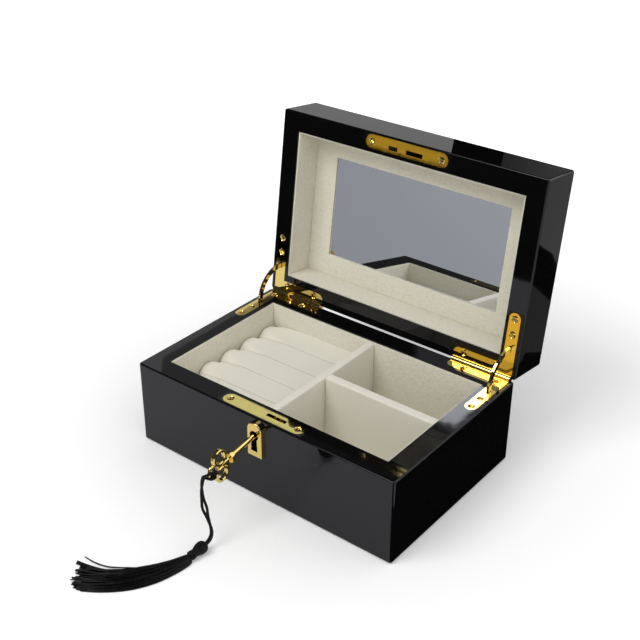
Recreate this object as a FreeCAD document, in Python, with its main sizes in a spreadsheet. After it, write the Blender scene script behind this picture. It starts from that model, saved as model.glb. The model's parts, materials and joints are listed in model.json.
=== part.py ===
import FreeCAD, Part
import math
import os
from types import SimpleNamespace

import Sketcher
from FreeCAD import Placement, Rotation, Vector

# Lacquered jewelry box with a mirror in its lid, standing open.
# The origin is the centre of the underside, +X to the right, -Y to the front, +Z up.
# The lid pieces are drawn closed and then turned open about the hinge axis.

# Driving dimensions, in millimetres and degrees
SIZES = {
    "box_width": 200,
    "box_depth": 131,
    "base_height": 59,
    "lid_height": 33.1,
    "parting_gap": 0.6,
    "open_angle": 97.5,
    "base_wall": 14,
    "lid_wall": 13.2,
    "corner_round": 1.6,
    "edge_round": 0.9,
    "felt_thickness": 0.8,
    "felt_inset": 3,
    "floor_thickness": 8,
    "lid_panel_thickness": 6.5,
    "liner_thickness": 1.2,
    "liner_drop": 0.8,
    "soft_gap": 0.2,
    "divider_thickness": 6,
    "divider_drop": 1,
    "cross_divider_thickness": 6.5,
    "cross_divider_shift": 0.2,
    "roll_gap": 0.4,
    "roll_drop": 14.5,
    "roll_flat": 1.2,
    "roll_end_round": 2.6,
    "mirror_depth": 22,
    "surround_thickness": 1.2,
    "window_width": 136.4,
    "window_height": 70.8,
    "window_shift": 0.3,
    "glass_thickness": 2,
    "glass_lap": 4,
    "axis_setback": 0.2,
    "leaf_thickness": 1.4,
    "leaf_edge": 3,
    "side_leg_width": 8,
    "side_leg_length": 44,
    "back_leg_width": 8.6,
    "back_leg_length": 43,
    "back_leg_round": 4,
    "barrel_radius": 2.3,
    "barrel_relief": 0.2,
    "wood_relief": 0.3,
    "knuckle_gap": 0.3,
    "hinge_pin_radius": 1.1,
    "running_fit": 0.05,
    "screw_head_radius": 2.1,
    "screw_head_height": 1.1,
    "screw_head_dome": 0.25,
    "screw_head_sink": 0.25,
    "screw_shank_radius": 0.9,
    "screw_length": 8,
    "screw_fit": 0.03,
    "screw_cross_length": 3,
    "screw_cross_width": 0.75,
    "screw_cross_depth": 0.9,
    "side_screw_near": 29.5,
    "side_screw_far": 40,
    "back_screw_inset": 6,
    "base_back_screw_near": 8.5,
    "base_back_screw_far": 33.5,
    "lid_back_screw_near": 14.9,
    "lid_back_screw_far": 38.3,
    "stay_radius": 19.8,
    "stay_width": 3.2,
    "stay_thickness": 1.5,
    "stay_play": 0.3,
    "stay_stop_gap": 0.1,
    "nub_height": 0.8,
    "nub_angle": 2.4,
    "mortise_play": 0.2,
    "mortise_spare_angle": 3,
    "lock_plate_length": 62.3,
    "lock_plate_width": 9.5,
    "lock_plate_thickness": 1.2,
    "lock_plate_inset": 6.6,
    "lock_screw_reach": 26.5,
    "lock_slot_left": 2.2,
    "lock_slot_right": 17,
    "lock_slot_width": 2.8,
    "striker_length": 62.5,
    "striker_inset": 6.1,
    "striker_slot_left": 0,
    "striker_slot_right": 12.4,
    "blind_slot_left": -13.5,
    "blind_slot_right": -6.6,
    "hook_pocket_depth": 6,
    "hook_pocket_spare": 1.1,
    "case_left": -14,
    "case_right": 24,
    "case_inset": 2.4,
    "case_depth": 8.4,
    "case_height": 26.3,
    "case_wall": 0.7,
    "case_fit": 0.15,
    "hook_inset": 7.3,
    "hook_thickness": 2,
    "hook_outer_radius": 10.8,
    "hook_inner_radius": 9.2,
    "hook_arm_angle": 3,
    "hook_tip_angle": 30,
    "hook_arm_width": 2,
    "hook_hub_radius": 2.4,
    "hook_pin_radius": 1.2,
    "pivot_offset": 3.4,
    "pivot_drop": 5.8,
    "tail_length": 8.5,
    "peg_radius": 0.8,
    "peg_length": 2.3,
    "escutcheon_width": 11,
    "escutcheon_height": 24,
    "escutcheon_drop": 2.5,
    "escutcheon_thickness": 2.6,
    "escutcheon_round": 0.6,
    "keyhole_drop": 11.3,
    "keyhole_radius": 3.3,
    "keyhole_reach": 11.2,
    "keyhole_neck": 4,
    "keyhole_foot": 5,
    "keyhole_spare": 0.3,
    "key_drop": 11.5,
    "key_droop": 8,
    "key_shank_radius": 1.6,
    "key_inside": 7.6,
    "key_outside": 19.1,
    "key_collar_radius": 2.5,
    "key_collar_length": 1.5,
    "key_shoulder_radius": 3.5,
    "key_shoulder_length": 2,
    "key_bit_length": 8.5,
    "key_bit_width": 1.6,
    "key_bit_thickness": 2,
    "key_bit_margin": 0.1,
    "key_bore_depth": 4,
    "drill_pin_radius": 0.6,
    "drill_pin_entry": 3,
    "drill_pin_play": 0.1,
    "bow_reach": 7.6,
    "bow_spread": 6.2,
    "bow_ring_radius": 4.5,
    "bow_rim_width": 2.2,
    "bow_rim_thickness": 3,
    "bow_rim_bevel": 0.5,
    "bow_tip_step": 6,
    "bow_tip_radius": 3.7,
    "bow_tip_wire": 1,
    "bow_plate_thickness": 1.7,
    "cord_diameter": 2,
    "hitch_wire": 0.75,
    "hitch_gap": 0.05,
    "hitch_knot_radius": 1.6,
    "hitch_knot_drop": 0.7,
    "head_radius": 4.1,
    "head_top_radius": 2,
    "neck_radius": 3,
    "neck_end": 10,
    "band_radius": 3.1,
    "band_length": 3,
    "skirt_lift": 0.1,
    "skirt_gap": 0.35,
}

ROLL_COUNT = 5
KNUCKLE_COUNT = 5
BASE_KNUCKLES = (0, 2, 4)
LID_KNUCKLES = (1, 3)

# The turns of cord round the bow's end ring: how many, where the first one is and how far apart they are
HITCH_TURNS = 5
HITCH_FIRST_ANGLE = 2
HITCH_STEP_ANGLE = 18

# How far a cutter reaches past the face that it goes through
PAST = 1

# Share of the shorter run that each bend of the cord takes up
BEND_SHARE = 0.45

# Share of the skirt's height that stands straight at its sides
SKIRT_SIDE_SHARE = 0.35

# How the cross of each screw in a row is turned, in degrees
SCREW_TURN = 25
SCREW_TURN_STEP = 40

# The cord's route from the key's bow to the tassel lying in front of the box, chosen by hand
CORD_ROUTE = [
    (-2.2, -109.7, 41.0),
    (-2.0, -111.2, 39.2),
    (-1.2, -112.9, 35.9),
    (-0.3, -113.9, 30.7),
    (2.1, -114.8, 23.5),
    (6.4, -115.9, 16.3),
    (8.4, -116.3, 12.0),
    (8.8, -116.8, 9.1),
    (8.8, -117.9, 6.9),
    (8.6, -119.6, 5.3),
    (8.5, -121.7, 4.6),
]

# The tassel's middle line on the table, with the skirt's width and height there
TASSEL_NECK = (7.8, -134.4, 3.4)
SKIRT_STATIONS = [
    ((6.8, -137.4), 7.4, 6.2),
    ((3.4, -145.9), 10.8, 5.4),
    ((-2.1, -156.4), 14.6, 4.6),
    ((-9.6, -167.2), 17.0, 4.0),
    ((-18.6, -175.8), 18.6, 3.5),
    ((-27.2, -181.2), 21.0, 3.1),
    ((-35.0, -184.5), 23.0, 2.8),
]

doc = FreeCAD.newDocument("jewelry_box")
sheet = doc.addObject("Spreadsheet::Sheet", "Sizes")
for row, (size_name, size_value) in enumerate(SIZES.items(), start=1):
    sheet.set("A%d" % row, size_name)
    sheet.set("B%d" % row, str(size_value))
    sheet.setAlias("B%d" % row, size_name)
doc.recompute()


class Size:
    """A length or an angle: its number, and the sheet expression that gives that number."""

    def __init__(self, value, text):
        self.value = float(value)
        self.text = text

    def __add__(self, other):
        other = as_size(other)
        return Size(self.value + other.value, "(%s + %s)" % (self.text, other.text))

    def __radd__(self, other):
        return as_size(other) + self

    def __sub__(self, other):
        other = as_size(other)
        return Size(self.value - other.value, "(%s - %s)" % (self.text, other.text))

    def __rsub__(self, other):
        return as_size(other) - self

    def __mul__(self, other):
        other = as_size(other)
        return Size(self.value * other.value, "(%s * %s)" % (self.text, other.text))

    def __rmul__(self, other):
        return as_size(other) * self

    def __truediv__(self, other):
        other = as_size(other)
        return Size(self.value / other.value, "(%s / %s)" % (self.text, other.text))

    def __neg__(self):
        return self * -1


def as_size(number):
    if isinstance(number, Size):
        return number
    return Size(number, "(%r)" % float(number))


def sine(angle):
    angle = as_size(angle)
    return Size(math.sin(math.radians(angle.value)), "sin(%s)" % angle.text)


def cosine(angle):
    angle = as_size(angle)
    return Size(math.cos(math.radians(angle.value)), "cos(%s)" % angle.text)


def angle_of_sine(share):
    share = as_size(share)
    return Size(math.degrees(math.asin(share.value)), "(asin(%s) / 1 deg)" % share.text)


def bind(thing, prop, size):
    """Ties a property of an object to the sheet."""
    thing.setExpression(prop, as_size(size).text)


S = SimpleNamespace(**{name: Size(value, "Sizes." + name) for name, value in SIZES.items()})
NODES = []


def node(thing):
    """Marks an object as a sub-part that is written out."""
    NODES.append(thing)
    return thing


# Main planes of the box
half_width = S.box_width / 2
half_depth = S.box_depth / 2
rim = S.base_height
lid_rim = rim + S.parting_gap
lid_top = lid_rim + S.lid_height
axis_y = half_depth + S.axis_setback
axis_z = rim + S.parting_gap / 2
inner_x = half_width - S.base_wall
inner_y = half_depth - S.base_wall
lined_x = inner_x - S.liner_thickness
lined_y = inner_y - S.liner_thickness
floor_z = S.felt_thickness + S.floor_thickness
lined_floor_z = floor_z + S.liner_thickness


def sketch_on(body, name, role, height=0):
    """A sketch on one of the body's origin planes, lifted along that plane's normal."""
    sketch = body.newObject("Sketcher::SketchObject", name)
    plane = [feature for feature in body.Origin.OriginFeatures if feature.Role == role][0]
    sketch.AttachmentSupport = [(plane, "")]
    sketch.MapMode = "FlatFace"
    bind(sketch, "AttachmentOffset.Base.z", height)
    return sketch


def fix(sketch, kind, geometry, point, size):
    """Holds one coordinate of a point of the sketch, measured from the sketch's origin."""
    size = as_size(size)
    index = sketch.addConstraint(Sketcher.Constraint(kind, -1, 1, geometry, point, size.value))
    sketch.setExpression("Constraints[%d]" % index, size.text)


def draw_outline(sketch, corners, arcs=None):
    """A closed path through the corners.

    arcs[i] = (centre x, centre y, turn) bends the side that follows corner i.
    A turn of 1 runs anticlockwise and -1 clockwise.
    """
    arcs = arcs or {}
    corners = [(as_size(x), as_size(y)) for x, y in corners]
    points = [Vector(x.value, y.value, 0) for x, y in corners]
    count = len(corners)
    ends = []
    for i in range(count):
        here = points[i]
        there = points[(i + 1) % count]
        if i in arcs:
            centre_x, centre_y, turn = arcs[i]
            centre = Vector(as_size(centre_x).value, as_size(centre_y).value, 0)
            first, last = (here, there) if turn > 0 else (there, here)
            start = math.atan2(first.y - centre.y, first.x - centre.x)
            stop = math.atan2(last.y - centre.y, last.x - centre.x)
            if stop <= start:
                stop += 2 * math.pi
            circle = Part.Circle(centre, Vector(0, 0, 1), (here - centre).Length)
            sketch.addGeometry(Part.ArcOfCircle(circle, start, stop), False)
            ends.append((1, 2) if turn > 0 else (2, 1))
        else:
            sketch.addGeometry(Part.LineSegment(here, there), False)
            ends.append((1, 2))
    for i in range(count):
        following = (i + 1) % count
        sketch.addConstraint(
            Sketcher.Constraint("Coincident", i, ends[i][1], following, ends[following][0])
        )
        fix(sketch, "DistanceX", i, ends[i][0], corners[i][0])
        fix(sketch, "DistanceY", i, ends[i][0], corners[i][1])
    for i, (centre_x, centre_y, turn) in arcs.items():
        chord = points[(i + 1) % count] - points[i]
        if abs(chord.x) > abs(chord.y):
            fix(sketch, "DistanceY", i, 3, centre_y)
        else:
            fix(sketch, "DistanceX", i, 3, centre_x)


def prism(name, role, corners, low, high, arcs=None):
    """A body with an outline drawn on an origin plane, reaching from low to high across that plane."""
    body = doc.addObject("PartDesign::Body", name)
    height = as_size(low)
    if role == "XZ_Plane":
        height = -as_size(high)
    sketch = sketch_on(body, name + "_outline", role, height)
    draw_outline(sketch, corners, arcs)
    pad = body.newObject("PartDesign::Pad", name + "_pad")
    pad.Profile = sketch
    bind(pad, "Length", as_size(high) - low)
    return body


def block(name, x, y, z):
    """A body with flat sides between the (low, high) pairs."""
    corners = [(x[0], y[0]), (x[1], y[0]), (x[1], y[1]), (x[0], y[1])]
    return prism(name, "XY_Plane", corners, z[0], z[1])


def round_edges(body, radius, wanted):
    """Rounds the edges of a body whose middle is wanted."""
    doc.recompute()
    base = body.Tip
    names = []
    for number, edge in enumerate(base.Shape.Edges, start=1):
        if wanted(edge.CenterOfMass):
            names.append("Edge%d" % number)
    fillet = body.newObject("PartDesign::Fillet", body.Name + "_round")
    fillet.Base = (base, names)
    bind(fillet, "Radius", radius)


def box(name, x, y, z):
    """A plain box, used to cut or to fuse."""
    thing = doc.addObject("Part::Box", name)
    for prop, coordinate, (low, high) in (("Length", "x", x), ("Width", "y", y), ("Height", "z", z)):
        bind(thing, prop, as_size(high) - low)
        bind(thing, "Placement.Base." + coordinate, low)
    return thing


ALONG = {
    "x": Rotation(Vector(0, 1, 0), 90),
    "y": Rotation(Vector(1, 0, 0), -90),
    "z": Rotation(),
}


def place(thing, x, y, z, rotation=None):
    thing.Placement = Placement(Vector(0, 0, 0), rotation or Rotation())
    bind(thing, "Placement.Base.x", x)
    bind(thing, "Placement.Base.y", y)
    bind(thing, "Placement.Base.z", z)
    return thing


def cylinder(name, along, start, radius, length):
    thing = doc.addObject("Part::Cylinder", name)
    bind(thing, "Radius", radius)
    bind(thing, "Height", length)
    return place(thing, *start, ALONG[along])


def torus(name, centre, ring, wire, rotation):
    thing = doc.addObject("Part::Torus", name)
    bind(thing, "Radius1", ring)
    bind(thing, "Radius2", wire)
    return place(thing, *centre, rotation)


def sphere(name, centre, radius):
    thing = doc.addObject("Part::Sphere", name)
    bind(thing, "Radius", radius)
    return place(thing, *centre)


def fuse(name, things):
    thing = doc.addObject("Part::MultiFuse", name)
    thing.Shapes = things
    return thing


def cut(name, base, tools):
    thing = doc.addObject("Part::Cut", name)
    thing.Base = base
    thing.Tool = tools[0] if len(tools) == 1 else fuse(name + "_cutter", tools)
    return thing


def turn_open(thing, angle):
    """Turns a piece that is drawn closed up and back about the hinge axis."""
    thing.Placement = Placement(Vector(0, 0, 0), Rotation(Vector(-1, 0, 0), angle.value))
    bind(thing, "Placement.Rotation.Angle", angle)
    bind(thing, "Placement.Base.y", axis_y - axis_y * cosine(angle) - axis_z * sine(angle))
    bind(thing, "Placement.Base.z", axis_z + axis_y * sine(angle) - axis_z * cosine(angle))
    return thing


def lid_node(thing):
    return node(turn_open(thing, S.open_angle))


def stadium(centre_x, centre_y, length, width):
    """Corners and arcs of a strip with full round ends."""
    radius = width / 2
    left = centre_x - length / 2 + radius
    right = centre_x + length / 2 - radius
    corners = [
        (left, centre_y - radius),
        (right, centre_y - radius),
        (right, centre_y + radius),
        (left, centre_y + radius),
    ]
    return corners, {1: (right, centre_y, 1), 3: (left, centre_y, 1)}


def polar(centre, radius, angle, aside=0):
    """A point at a radius and angle about a centre, moved aside at right angles to that radius."""
    x = centre[0] + radius * cosine(angle) - aside * sine(angle)
    y = centre[1] + radius * sine(angle) + aside * cosine(angle)
    return x, y


def sector(name, role, centre, inner, outer, first, last, low, high):
    """Part of a flat ring between two radii and two angles."""
    corners = [
        polar(centre, outer, first),
        polar(centre, outer, last),
        polar(centre, inner, last),
        polar(centre, inner, first),
    ]
    arcs = {0: (centre[0], centre[1], 1), 2: (centre[0], centre[1], -1)}
    return prism(name, role, corners, low, high, arcs)


# Screws
def turned_body(name, corners, arcs=None):
    """A body turned about its own Z axis from half of its section."""
    body = doc.addObject("PartDesign::Body", name)
    sketch = sketch_on(body, name + "_profile", "XZ_Plane")
    draw_outline(sketch, corners, arcs)
    turned = body.newObject("PartDesign::Revolution", name + "_turned")
    turned.Profile = sketch
    turned.ReferenceAxis = (sketch, ["V_Axis"])
    turned.Angle = 360
    return body


def screw_flank(fit):
    """The section of a screw's tip, shank and cone, up to the edge of its head."""
    shank = S.screw_shank_radius + fit
    length = S.screw_length + fit
    edge = -S.screw_head_sink
    return [
        (0, -length),
        (shank, shank - length),
        (shank, edge - S.screw_head_height),
        (S.screw_head_radius + fit, edge),
    ]


def screw_body(name):
    """A countersunk screw with a low dome, sunk until the dome's top is at the origin."""
    radius = S.screw_head_radius
    dome = S.screw_head_dome
    edge = -S.screw_head_sink
    dome_centre = edge + dome - (radius * radius + dome * dome) / (dome * 2)
    corners = screw_flank(as_size(0)) + [(0, edge + dome)]
    return turned_body(name, corners, {3: (0, dome_centre, 1)})


def screw_hole(name):
    """The hole of a screw, whose cone runs on to the plate's face at the origin."""
    slope = (S.screw_head_radius - S.screw_shank_radius) / S.screw_head_height
    mouth = S.screw_head_radius + S.screw_fit + S.screw_head_sink * slope
    return turned_body(name, screw_flank(S.screw_fit) + [(mouth, 0), (0, 0)])


def cross_recess(body, name):
    """The cross that a driver fits, sunk in the screw's head."""
    arm = S.screw_cross_length / 2
    wing = S.screw_cross_width / 2
    sketch = sketch_on(body, name + "_cross", "XY_Plane")
    corners = [
        (wing, wing), (wing, arm), (-wing, arm), (-wing, wing), (-arm, wing), (-arm, -wing),
        (-wing, -wing), (-wing, -arm), (wing, -arm), (wing, -wing), (arm, -wing), (arm, wing),
    ]
    draw_outline(sketch, corners)
    pocket = body.newObject("PartDesign::Pocket", name + "_recess")
    pocket.Profile = sketch
    bind(pocket, "Length", S.screw_cross_depth)
    doc.recompute()
    if pocket.Shape.Volume >= pocket.BaseFeature.Shape.Volume:
        pocket.Reversed = True


def screw_set(name, spots, height, up):
    """Screws at the spots as one node, and the holes that they need, heads facing up or down."""
    flip = Rotation() if up else Rotation(Vector(1, 0, 0), 180)
    screws = []
    holes = []
    for number, (x, y) in enumerate(spots, start=1):
        screw = screw_body("%s_screw_%d" % (name, number))
        cross_recess(screw, "%s_screw_%d" % (name, number))
        turn = Rotation(Vector(0, 0, 1), SCREW_TURN + SCREW_TURN_STEP * number)
        screws.append(place(screw, x, y, height, flip.multiply(turn)))
        hole = screw_hole("%s_hole_%d" % (name, number))
        holes.append(place(hole, x, y, height, flip))
    group = doc.addObject("Part::Compound", name)
    group.Links = screws
    return group, holes


# Hinges, one at each back corner
stay_inner = S.stay_radius - S.stay_width / 2
stay_outer = S.stay_radius + S.stay_width / 2
nub_inner = stay_inner - S.nub_height
nub_outer = stay_outer + S.nub_height
leaf_under = S.parting_gap / 2 + S.leaf_thickness + S.stay_stop_gap
stay_half_angle = S.open_angle / 2 + angle_of_sine(leaf_under / nub_inner) + S.nub_angle
knuckle_length = S.back_leg_length / KNUCKLE_COUNT


def leaf_outline(side):
    """Plan of a leaf: a leg along the side wall and one along the back wall, up to the hinge axis."""
    outer = half_width - S.leaf_edge
    inner = outer - S.side_leg_width
    far = outer - S.back_leg_length
    front = half_depth - S.back_leg_width
    tip_round = S.side_leg_width / 2
    tip = half_depth - S.side_leg_length + tip_round
    corners = [
        (far + S.back_leg_round, front),
        (inner, front),
        (inner, tip),
        (outer, tip),
        (outer, axis_y),
        (far, axis_y),
        (far, front + S.back_leg_round),
    ]
    arcs = {
        2: (outer - tip_round, tip, 1),
        6: (far + S.back_leg_round, front + S.back_leg_round, 1),
    }
    corners = [(x * side, y) for x, y in corners]
    arcs = {i: (x * side, y, turn * side) for i, (x, y, turn) in arcs.items()}
    return corners, arcs


def barrel_span(side, first, last, spare=0):
    """Where a stretch of the barrel starts along X, and how long it is, counted in knuckles."""
    outer = half_width - S.leaf_edge
    near = outer - knuckle_length * first + spare
    far = outer - knuckle_length * last - spare
    return (far, near - far) if side > 0 else (-near, near - far)


def barrel(name, side, first, last, radius, spare=0):
    start, length = barrel_span(side, first, last, spare)
    return cylinder(name, "x", (start, axis_y, axis_z), radius, length)


def leaf(name, side, low, own, screw_holes):
    """A leaf with its own knuckles; the other leaf's knuckles run in the gaps."""
    corners, arcs = leaf_outline(side)
    high = low + S.leaf_thickness
    pieces = [prism(name + "_plate", "XY_Plane", corners, low, high, arcs)]
    gaps = []
    for number in range(KNUCKLE_COUNT):
        label = "%s_knuckle_%d" % (name, number)
        if number in own:
            pieces.append(barrel(label, side, number, number + 1, S.barrel_radius, -S.knuckle_gap / 2))
        else:
            clear = S.barrel_radius + S.barrel_relief
            gaps.append(barrel(label, side, number, number + 1, clear, S.knuckle_gap / 2))
    bore = barrel(name + "_bore", side, 0, KNUCKLE_COUNT, S.hinge_pin_radius + S.running_fit, PAST)
    plane_x = (half_width - S.leaf_edge - S.side_leg_width / 2) * side
    slot_half = S.stay_thickness / 2 + S.stay_play
    slot = box(
        name + "_stay_slot",
        (plane_x - slot_half, plane_x + slot_half),
        (axis_y - stay_outer - S.stay_play, axis_y - stay_inner + S.stay_play),
        (low - PAST, high + PAST),
    )
    return cut(name, fuse(name + "_blank", pieces), gaps + [bore, slot] + screw_holes)


def stay(name, side, plane_x):
    """The curved bar that runs through both leaves and stops the lid with its swollen ends."""
    low = plane_x - S.stay_thickness / 2
    high = plane_x + S.stay_thickness / 2
    centre = (axis_y, axis_z)
    first = 180 - stay_half_angle
    last = 180 + stay_half_angle
    bar = sector(name + "_bar", "YZ_Plane", centre, stay_inner, stay_outer, first, last, low, high)
    pieces = [bar]
    for number, start in enumerate((first, last - S.nub_angle), start=1):
        label = "%s_nub_%d" % (name, number)
        stop = start + S.nub_angle
        pieces.append(sector(label, "YZ_Plane", centre, nub_inner, nub_outer, start, stop, low, high))
    return node(turn_open(fuse(name, pieces), S.open_angle / 2))


def hinge(label, side):
    """Makes one hinge and returns what the walls need cut out for it."""
    outer = half_width - S.leaf_edge
    plane_x = (outer - S.side_leg_width / 2) * side
    side_spots = [(plane_x, half_depth - S.side_screw_near), (plane_x, half_depth - S.side_screw_far)]
    back_y = half_depth - S.back_screw_inset
    base_spots = side_spots + [
        ((half_width - S.base_back_screw_near) * side, back_y),
        ((half_width - S.base_back_screw_far) * side, back_y),
    ]
    lid_spots = side_spots + [
        ((half_width - S.lid_back_screw_near) * side, back_y),
        ((half_width - S.lid_back_screw_far) * side, back_y),
    ]
    base_screws, base_holes = screw_set(label + "_hinge_base_screws", base_spots, rim, True)
    lid_screws, lid_holes = screw_set(label + "_hinge_lid_screws", lid_spots, lid_rim, False)
    node(base_screws)
    lid_node(lid_screws)
    node(leaf(label + "_hinge_base_leaf", side, rim - S.leaf_thickness, BASE_KNUCKLES, base_holes))
    lid_node(leaf(label + "_hinge_lid_leaf", side, lid_rim, LID_KNUCKLES, lid_holes))
    node(barrel(label + "_hinge_pin", side, 0, KNUCKLE_COUNT, S.hinge_pin_radius))
    stay(label + "_hinge_stay", side, plane_x)

    corners, arcs = leaf_outline(side)
    base_seat = prism(
        label + "_base_seat", "XY_Plane", corners, rim - S.leaf_thickness, rim + PAST, arcs
    )
    lid_seat = prism(
        label + "_lid_seat", "XY_Plane", corners, lid_rim - PAST, lid_rim + S.leaf_thickness, arcs
    )
    relief = barrel(
        label + "_barrel_seat", side, 0, KNUCKLE_COUNT, S.barrel_radius + S.wood_relief, S.wood_relief
    )
    half_slot = S.stay_thickness / 2 + S.stay_play
    mortise = sector(
        label + "_mortise",
        "YZ_Plane",
        (axis_y, axis_z),
        nub_inner - S.mortise_play,
        nub_outer + S.mortise_play,
        180 - stay_half_angle - S.mortise_spare_angle,
        180 + stay_half_angle + S.mortise_spare_angle,
        plane_x - half_slot,
        plane_x + half_slot,
    )
    return (
        [base_seat, relief, mortise] + base_holes,
        [lid_seat, relief, mortise] + lid_holes,
    )


# Lock in the middle of the front wall
hook_y = S.hook_inset - half_depth
hook_front = hook_y - S.hook_thickness / 2
hook_back = hook_y + S.hook_thickness / 2
pivot = (S.pivot_offset, rim - S.pivot_drop)
case_front = S.case_inset - half_depth
case_back = case_front + S.case_depth
case_top = rim - S.lock_plate_thickness
case_bottom = case_top - S.case_height
keyhole_z = rim - S.keyhole_drop
key_y = -half_depth - S.escutcheon_thickness
key_z = rim - S.key_drop


def keyhole(name, spare, low, high):
    """The keyhole's shape as a cutter: a round top with a slot that widens to its foot."""
    radius = S.keyhole_radius + spare
    neck = S.keyhole_neck / 2 + spare
    foot = S.keyhole_foot / 2 + spare
    bottom = keyhole_z - S.keyhole_reach - spare
    eye = cylinder(name + "_eye", "y", (0, low, keyhole_z), radius, as_size(high) - low)
    corners = [(-foot, bottom), (foot, bottom), (neck, keyhole_z), (-neck, keyhole_z)]
    slot = prism(name + "_slot", "XZ_Plane", corners, low, high)
    return fuse(name, [eye, slot])


def rim_plate(name, inset, length, low, high):
    """A strip with round ends let into the rim of the front wall."""
    corners, arcs = stadium(as_size(0), inset - half_depth, length, S.lock_plate_width)
    return prism(name, "XY_Plane", corners, low, high, arcs)


def lock_slot(name, left, right, low, high):
    """A slot for the hook through a plate."""
    half = S.lock_slot_width / 2
    return box(name, (left, right), (hook_y - half, hook_y + half), (low, high))


def lock_screw_spots(inset):
    return [(S.lock_screw_reach * side, inset - half_depth) for side in (-1, 1)]


def lock_plate():
    low = rim - S.lock_plate_thickness
    screws, holes = screw_set("lock_plate_screws", lock_screw_spots(S.lock_plate_inset), rim, True)
    node(screws)
    blank = rim_plate("lock_plate_blank", S.lock_plate_inset, S.lock_plate_length, low, rim)
    slot = lock_slot("lock_plate_slot", S.lock_slot_left, S.lock_slot_right, low - PAST, rim + PAST)
    node(cut("lock_plate", blank, [slot] + holes))
    seat = rim_plate("lock_plate_seat", S.lock_plate_inset, S.lock_plate_length, low, rim + PAST)
    return [seat] + holes


def lock_case():
    """The box of thin sheet under the plate that carries the hook."""
    wall = S.case_wall
    shell = box(
        "lock_case_shell",
        (S.case_left, S.case_right),
        (case_front, case_back),
        (case_bottom, case_top),
    )
    hollow = box(
        "lock_case_hollow",
        (S.case_left + wall, S.case_right - wall),
        (case_front + wall, case_back - wall),
        (case_bottom + wall, case_top + PAST),
    )
    entry = keyhole("lock_case_keyhole", S.keyhole_spare, case_front - PAST, case_front + wall + PAST)
    node(cut("lock_case", shell, [hollow, entry]))
    fit = S.case_fit
    pocket = box(
        "lock_case_pocket",
        (S.case_left - fit, S.case_right + fit),
        (case_front - fit, case_back + fit),
        (case_bottom - fit, case_top + PAST),
    )
    through = keyhole("front_wall_keyhole", S.keyhole_spare, -half_depth - PAST, case_front)
    return [pocket, through]


def lock_hook():
    """The hook that turns up through the plate, with the tail and peg that the key's bit drives."""
    half = S.hook_arm_width / 2
    reach = S.hook_inner_radius + half
    arm = [
        polar(pivot, 0, S.hook_arm_angle, -half),
        polar(pivot, reach, S.hook_arm_angle, -half),
        polar(pivot, reach, S.hook_arm_angle, half),
        polar(pivot, 0, S.hook_arm_angle, half),
    ]
    peg_z = pivot[1] - S.tail_length
    tail = [
        (pivot[0] - half, peg_z - half),
        (pivot[0] + half, peg_z - half),
        (pivot[0] + half, pivot[1]),
        (pivot[0] - half, pivot[1]),
    ]
    peg_start = hook_front - S.peg_length
    peg_reach = S.peg_length + S.hook_thickness
    pieces = [
        cylinder("hook_hub", "y", (pivot[0], hook_front, pivot[1]), S.hook_hub_radius, S.hook_thickness),
        prism("hook_arm", "XZ_Plane", arm, hook_front, hook_back),
        sector(
            "hook_nose", "XZ_Plane", pivot, S.hook_inner_radius, S.hook_outer_radius,
            S.hook_arm_angle, S.hook_tip_angle, hook_front, hook_back,
        ),
        prism("hook_tail", "XZ_Plane", tail, hook_front, hook_back),
        cylinder("hook_peg", "y", (pivot[0], peg_start, peg_z), S.peg_radius, peg_reach),
    ]
    bore_radius = S.hook_pin_radius + S.running_fit
    bore_start = (pivot[0], hook_front - PAST, pivot[1])
    bore = cylinder("hook_bore", "y", bore_start, bore_radius, S.hook_thickness + 2 * PAST)
    node(cut("lock_hook", fuse("lock_hook_blank", pieces), [bore]))
    pin_start = case_front + S.case_wall
    pin_length = S.case_depth - S.case_wall * 2
    node(cylinder("lock_hook_pin", "y", (pivot[0], pin_start, pivot[1]), S.hook_pin_radius, pin_length))


def lock_drill_pin():
    """The pin that stands on the case's back and carries the hollow end of the key."""
    z = key_z + (S.key_inside - S.drill_pin_entry / 2) * sine(S.key_droop)
    start = key_y + (S.key_inside - S.drill_pin_entry) * cosine(S.key_droop)
    length = case_back - S.case_wall - start
    node(cylinder("lock_drill_pin", "y", (0, start, z), S.drill_pin_radius, length))


def striker():
    """The plate in the lid's rim that the hook catches, with the wood hollowed behind it."""
    high = lid_rim + S.lock_plate_thickness
    screws, holes = screw_set("striker_screws", lock_screw_spots(S.striker_inset), lid_rim, False)
    lid_node(screws)
    blank = rim_plate("striker_plate_blank", S.striker_inset, S.striker_length, lid_rim, high)
    below = lid_rim - PAST
    above = high + PAST
    slots = [
        lock_slot("striker_slot", S.striker_slot_left, S.striker_slot_right, below, above),
        lock_slot("striker_blind_slot", S.blind_slot_left, S.blind_slot_right, below, above),
    ]
    lid_node(cut("striker_plate", blank, slots + holes))
    seat = rim_plate("striker_seat", S.striker_inset, S.striker_length, lid_rim - PAST, high)
    spare = S.hook_pocket_spare
    half = S.lock_slot_width / 2 + spare
    nose_reach = S.hook_outer_radius - S.pivot_offset
    pocket = box(
        "striker_pocket",
        (spare * 3 - nose_reach, S.striker_slot_right + spare),
        (hook_y - half, hook_y + half),
        (lid_rim, lid_rim + S.hook_pocket_depth),
    )
    return [seat, pocket] + holes


def escutcheon():
    """The thick keyhole plate with an arched head on the front."""
    half = S.escutcheon_width / 2
    top = rim - S.escutcheon_drop
    bottom = top - S.escutcheon_height
    corners = [(-half, bottom), (half, bottom), (half, top - half), (-half, top - half)]
    blank = prism(
        "escutcheon_blank", "XZ_Plane", corners, key_y, -half_depth, {2: (0, top - half, 1)}
    )
    round_edges(blank, S.escutcheon_round, lambda middle: middle.y < key_y.value + 0.01)
    entry = keyhole("escutcheon_keyhole", 0, key_y - PAST, -half_depth + PAST)
    node(cut("keyhole_escutcheon", blank, [entry]))


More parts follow.
